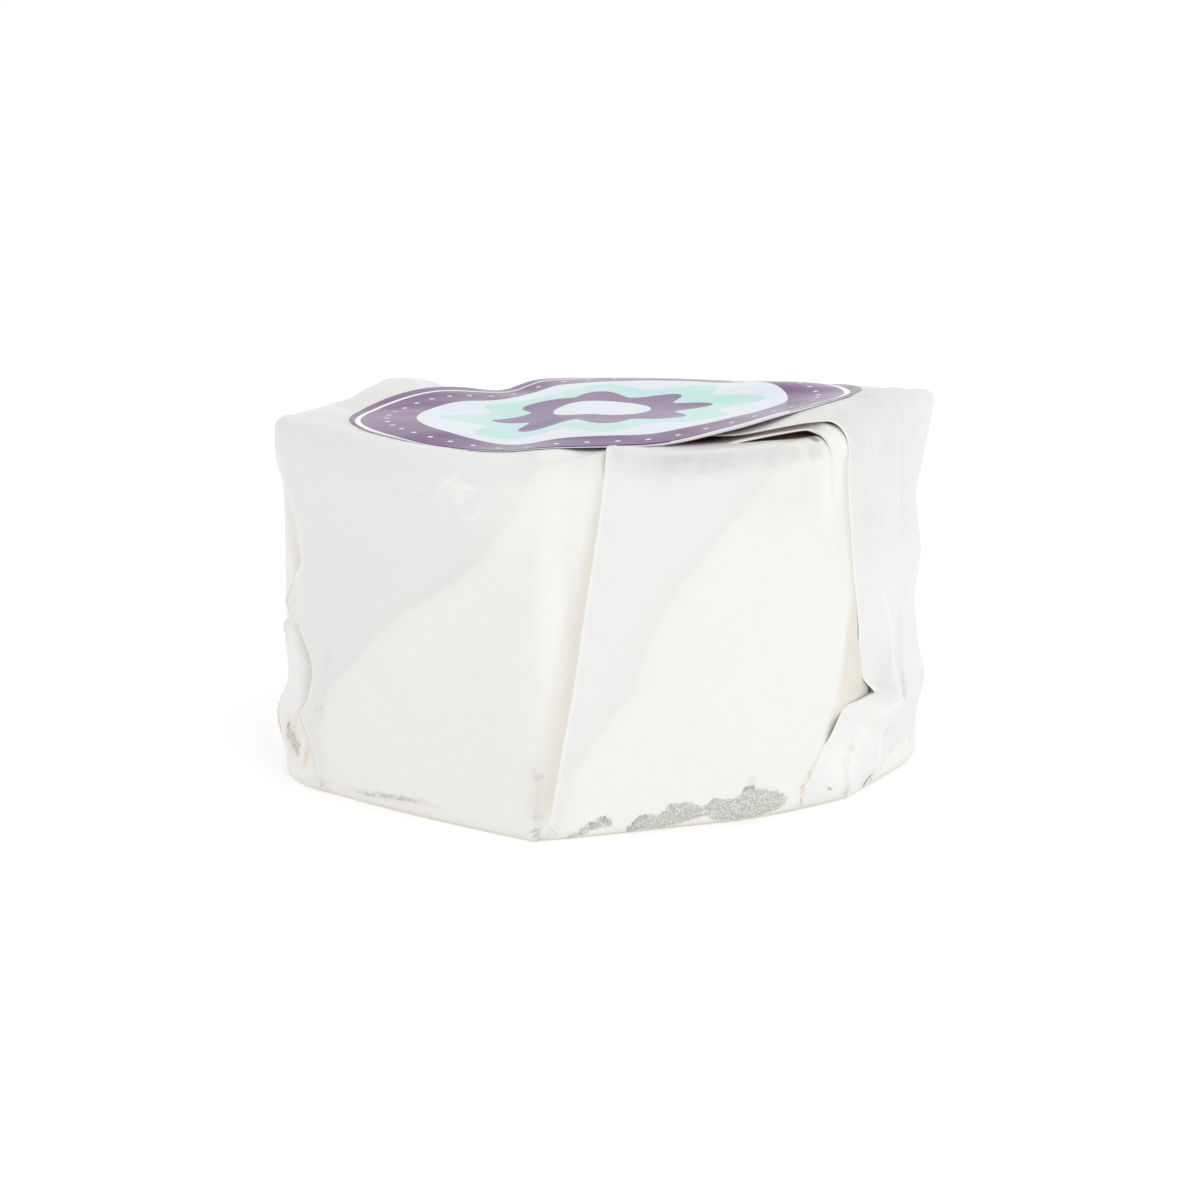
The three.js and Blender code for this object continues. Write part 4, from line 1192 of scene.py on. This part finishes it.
def waxed_paper():
    """Waxed white paper over cream cheese, the mould seen through it, and painted shade and highlights."""
    material, tree, output = new_material("waxed_white_paper")
    place_on = node(tree, "ShaderNodeTexCoord").outputs["Object"]
    cloud = noise(tree, place_on, 14.0, 5.0, 0.6)
    mottle = noise(tree, place_on, 2.2, 4.0, 0.6)
    ragged = calc(tree, "MULTIPLY_ADD", noise(tree, place_on, 6.0, 5.0, 0.65), 1.2, -0.6)
    stand = calc(tree, "ADD", attribute(tree, "stand"), ragged)
    loose = ramp(tree, stand, 0.35, 1.6)
    folded = ramp(tree, calc(tree, "MULTIPLY_ADD", ragged, 0.35, attribute(tree, "layers")), 0.25, 0.85)
    touching = blend(tree, cloud, linear("#E8E8E5"), linear("#E6E6E2"))
    free = blend(tree, cloud, linear("#E6E6E3"), linear("#E7E7E5"))
    thick = blend(tree, cloud, linear("#E0E0DF"), linear("#E3E3E2"))
    colour = blend(tree, loose, touching, free)
    colour = blend(tree, folded, colour, thick)
    fibres = calc(tree, "MULTIPLY", ramp(tree, mottle, 0.35, 0.75), 0.22)
    colour = blend(tree, fibres, colour, linear("#DFDFDB"))

    def over(name, share, hex_colour, under):
        """Lays a colour over another by a layer's value times a share."""
        return blend(tree, calc(tree, "MULTIPLY", attribute(tree, name), share), under, linear(hex_colour))

    uneven = calc(tree, "MULTIPLY_ADD", mottle, 1.4, 0.3)
    # cool grey of the layers below, and painted shade
    colour = over("shade", uneven, "#C5C6C4", colour)
    # painted light: warm white on ridges, rims and edges
    colour = over("painted_light", 0.8, "#F4F3EE", colour)
    # painted shade along the hidden creases
    colour = over("fold_line_shade", 0.22, "#DAD7CF", colour)
    # painted shade: warm beige in the grooves before the free edges
    colour = over("groove", 0.6, "#D6CEBE", colour)
    colour = over("shadow", 0.9, "#D9D3C6", colour)
    colour = over("foot", 0.38, "#DCD4C2", colour)
    # painted shade: brown in the cavities below the sticker and between the layers
    colour = over("deep", 0.8, "#B8937F", colour)
    stained = calc(tree, "MULTIPLY_ADD", ragged, 0.25, attribute(tree, "stain"))
    tanned = calc(tree, "MULTIPLY", ramp(tree, stained, 0.08, 1.1), 0.7)
    colour = blend(tree, tanned, colour, linear("#CFA468"))
    # painted highlight along the free edges
    colour = over("tip", 0.4, "#F6F6F4", colour)
    # painted highlight on crease lines and nicks, partly whitened wax
    colour = over("shine", 0.55, "#FBFBFA", colour)
    grain = noise(tree, place_on, 0.3, 3.0, 0.7)
    speck = calc(tree, "MULTIPLY_ADD", grain, 1.3, -0.65)
    coarse = calc(tree, "MULTIPLY_ADD", noise(tree, place_on, 1.3, 4.0, 0.7), 1.6, -0.8)
    edge_noise = calc(tree, "ADD", speck, coarse)
    mould = ramp(tree, calc(tree, "ADD", attribute(tree, "mould"), edge_noise), 0.3, 0.75)
    border = ramp(tree, calc(tree, "ADD", attribute(tree, "border"), edge_noise), 0.55, 1.05)
    body = blend(tree, ramp(tree, grain, 0.42, 0.6), linear("#9FA2A0"), linear("#D6D5CC"))
    body = blend(tree, border, body, linear("#838990"))
    colour = blend(tree, calc(tree, "MULTIPLY", mould, 0.85), colour, body)
    bump = node(tree, "ShaderNodeBump", {}, Strength=0.15, Distance=0.0002,
                Height=noise(tree, place_on, 0.9, 3.0))
    soft = node(tree, "ShaderNodeBump", {}, Strength=0.35, Distance=0.0006,
                Height=noise(tree, place_on, 7.0, 3.0, 0.45), Normal=bump.outputs[0])
    shader = node(tree, "ShaderNodeBsdfPrincipled", {}, Base_Color=colour, Roughness=0.4,
                  IOR=1.42, Normal=soft.outputs[0])
    finish_with(tree, output, shader)
    return material


# %% Rind


def bloomy_rind():
    """The rind: velvety white mould over cream, matt, with faint cool patches."""
    material, tree, output = new_material("bloomy_white_rind")
    place_on = node(tree, "ShaderNodeTexCoord").outputs["Object"]
    patch = ramp(tree, noise(tree, place_on, 14.0, 5.0, 0.6), 0.45, 0.65)
    down = noise(tree, place_on, 1.2, 4.0, 0.6)
    colour = blend(tree, patch, linear("#F3EBDB"), linear("#E9E6DD"))
    bump = node(tree, "ShaderNodeBump", {}, Strength=0.5, Distance=0.0004, Height=down)
    shader = node(tree, "ShaderNodeBsdfPrincipled", {}, Base_Color=colour, Roughness=0.85,
                  IOR=1.42, Normal=bump.outputs[0])
    finish_with(tree, output, shader)
    return material


# %% [markdown]
# ### The sticker's print
#
# Offset print under a gloss laminate. A plum border with a thin white line and a ring of dots
# goes round a pale blue middle, and in that lies a plain rosette in mint and plum. All of it is
# drawn by distance and direction from the print's middle, so the edges stay sharp at any size.

# %% Printed sticker
PLUM, DEEP_PLUM, PALE_BLUE, MINT, WHITE = "#5B1C6B", "#3A0050", "#D8E1E6", "#B4DDD6", "#F0F0F2"
# the underside's brown is painted shade, as it looks in the shadowed cavity below
SOFT_PLUM, TURNED_WHITE, SHADOWED_UNDERSIDE_BROWN = "#6F4A80", "#DAD6DC", "#8E6560"
TURNED_FROM = 38.0             # from here out the underside shows the turned edge
PRINT_SIDE, PRINT_BACK = -0.5, -2.8    # how far the print's middle is off the die-cut disc's
LINE_OUT, LINE_IN, BAND_IN = 40.3, 39.4, 30.3
DOT_RADIUS, DOT_RING, DOT_COUNT = 0.45, 35.2, 48
PETALS = 8
# the rosette's rings from the outermost in: radius, how far it swells in each petal, and colour
ROSETTE = ((23.5, 3.2, MINT), (15.5, 2.6, SOFT_PLUM), (8.0, 0.0, PALE_BLUE))
TIP_AT, TIP_HALF = math.radians(-10), math.radians(20)   # painted shade: the outer ring darker here, where its tip shows less reflection


def printed_sticker():
    """Rings by distance from the middle, a rosette of rings whose radius is r + d cos(8 t), and
    dots by the distance from the nearest of their evenly spaced places."""
    material, tree, output = new_material("gloss_laminated_print")
    place_on = node(tree, "ShaderNodeTexCoord").outputs["Object"]
    middle = tuple(place((STICKER_X + PRINT_SIDE, STICKER_Y + PRINT_BACK, 0)))
    local = node(tree, "ShaderNodeVectorMath", {"operation": "SUBTRACT"}, _0=place_on, _1=middle).outputs[0]
    split = node(tree, "ShaderNodeSeparateXYZ", {}, _0=local)
    x = calc(tree, "DIVIDE", split.outputs[0], MM)
    y = calc(tree, "DIVIDE", split.outputs[1], MM)
    radius = calc(tree, "SQRT", calc(tree, "ADD", calc(tree, "MULTIPLY", x, x), calc(tree, "MULTIPLY", y, y)))
    around = calc(tree, "ARCTAN2", y, x)

    def beyond(distance):
        """1 outside a distance from the print's middle."""
        return calc(tree, "GREATER_THAN", radius, distance)

    step = 2 * math.pi / DOT_COUNT
    turned = calc(tree, "MODULO", calc(tree, "ADD", around, 4 * math.pi), step)
    off_angle = calc(tree, "SUBTRACT", turned, step / 2)
    off_round = calc(tree, "MULTIPLY", off_angle, DOT_RING)
    off_out = calc(tree, "SUBTRACT", radius, DOT_RING)
    off = calc(tree, "SQRT", calc(tree, "ADD", calc(tree, "MULTIPLY", off_round, off_round),
                                  calc(tree, "MULTIPLY", off_out, off_out)))
    dots = calc(tree, "LESS_THAN", off, DOT_RADIUS)

    petals = calc(tree, "COSINE", calc(tree, "MULTIPLY", around, float(PETALS)))
    colour = linear(PALE_BLUE)
    for reach, swell, hex_colour in ROSETTE:
        ring = calc(tree, "MULTIPLY_ADD", petals, swell, reach)
        colour = blend(tree, calc(tree, "LESS_THAN", radius, ring), colour, linear(hex_colour))
    colour = blend(tree, beyond(BAND_IN), colour, linear(PLUM))
    colour = blend(tree, dots, colour, linear(WHITE))
    colour = blend(tree, beyond(LINE_IN), colour, linear(WHITE))
    off_tip = calc(tree, "ABSOLUTE", calc(tree, "SUBTRACT", around, TIP_AT))
    at_tip = calc(tree, "LESS_THAN", off_tip, TIP_HALF)
    colour = blend(tree, beyond(LINE_OUT), colour, blend(tree, at_tip, linear(PLUM), linear(DEEP_PLUM)))
    under = node(tree, "ShaderNodeAttribute", {"attribute_name": "under"}).outputs["Fac"]
    # underside: white where turned under, painted shade brown further in
    below_side = blend(tree, beyond(TURNED_FROM), linear(SHADOWED_UNDERSIDE_BROWN), linear(TURNED_WHITE))
    colour = blend(tree, ramp(tree, under, 0.05, 0.3), colour, below_side)
    shader = node(tree, "ShaderNodeBsdfPrincipled", {}, Base_Color=colour, Roughness=0.16, IOR=1.15)
    finish_with(tree, output, shader)
    return material


# %% Put the finishes on
wrap_finish = waxed_paper()
for piece, material, slot, cad_node in (
        (paper, wrap_finish, "wrap_paper", "paper_wrap"),
        (tuck, wrap_finish, "wrap_paper", "paper_wrap"),
        (cheese, bloomy_rind(), "rind", "cheese_wheel"),
        (sticker, printed_sticker(), "sticker", "label")):
    piece.data.materials.append(material)
    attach(piece, "root")
    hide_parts(cad_node)
    print(piece.name, "has", material.name)

# %% [markdown]
# ## Floor and light
#
# A high-key setting: a near-white floor that runs to the horizon, a white sky, and one large
# soft light from the front right, so the left of the wheel is a shade darker than the right.

# %% Floor and light
FLOOR_HALF = 6000.0


def floor_piece():
    """A wide square on which the wheel stands."""
    corners = [(-FLOOR_HALF, -FLOOR_HALF, 0), (FLOOR_HALF, -FLOOR_HALF, 0),
               (FLOOR_HALF, FLOOR_HALF, 0), (-FLOOR_HALF, FLOOR_HALF, 0)]
    piece = new_piece("floor", corners, np.array([[0, 1, 2, 3]]))
    material, tree, output = new_material("white_floor")
    shader = node(tree, "ShaderNodeBsdfPrincipled", {}, Base_Color=linear("#F2F2F2"), Roughness=0.9,
                  Emission_Color=(1, 1, 1, 1), Emission_Strength=0.14)
    finish_with(tree, output, shader)
    piece.data.materials.append(material)
    return piece


def area_light(name, at, size, power, aim=(0, 0, 28)):
    """A square light at a place in millimetres, turned to the wheel."""
    data = bpy.data.lights.new(name, "AREA")
    data.size = size * MM
    data.energy = power
    light = bpy.data.objects.new(name, data)
    light.location = place(at)
    direction = np.array(aim, float) - np.array(at, float)
    flat = math.hypot(direction[0], direction[1])
    light.rotation_euler = (math.atan2(flat, -direction[2]), 0, math.atan2(-direction[0], direction[1]))
    bpy.context.scene.collection.objects.link(light)
    return light


floor_piece()
area_light("key", (560, -520, 560), 700, 1.3)
world = bpy.data.worlds.new("white_sky")
world.use_nodes = True
world.node_tree.nodes["Background"].inputs["Color"].default_value = (1, 1, 1, 1)
world.node_tree.nodes["Background"].inputs["Strength"].default_value = 1.0
bpy.context.scene.world = world
bpy.context.scene.view_settings.view_transform = "Standard"
bpy.context.scene.cycles.max_bounces = 16
bpy.context.scene.cycles.diffuse_bounces = 12
print("floor and light are in place")
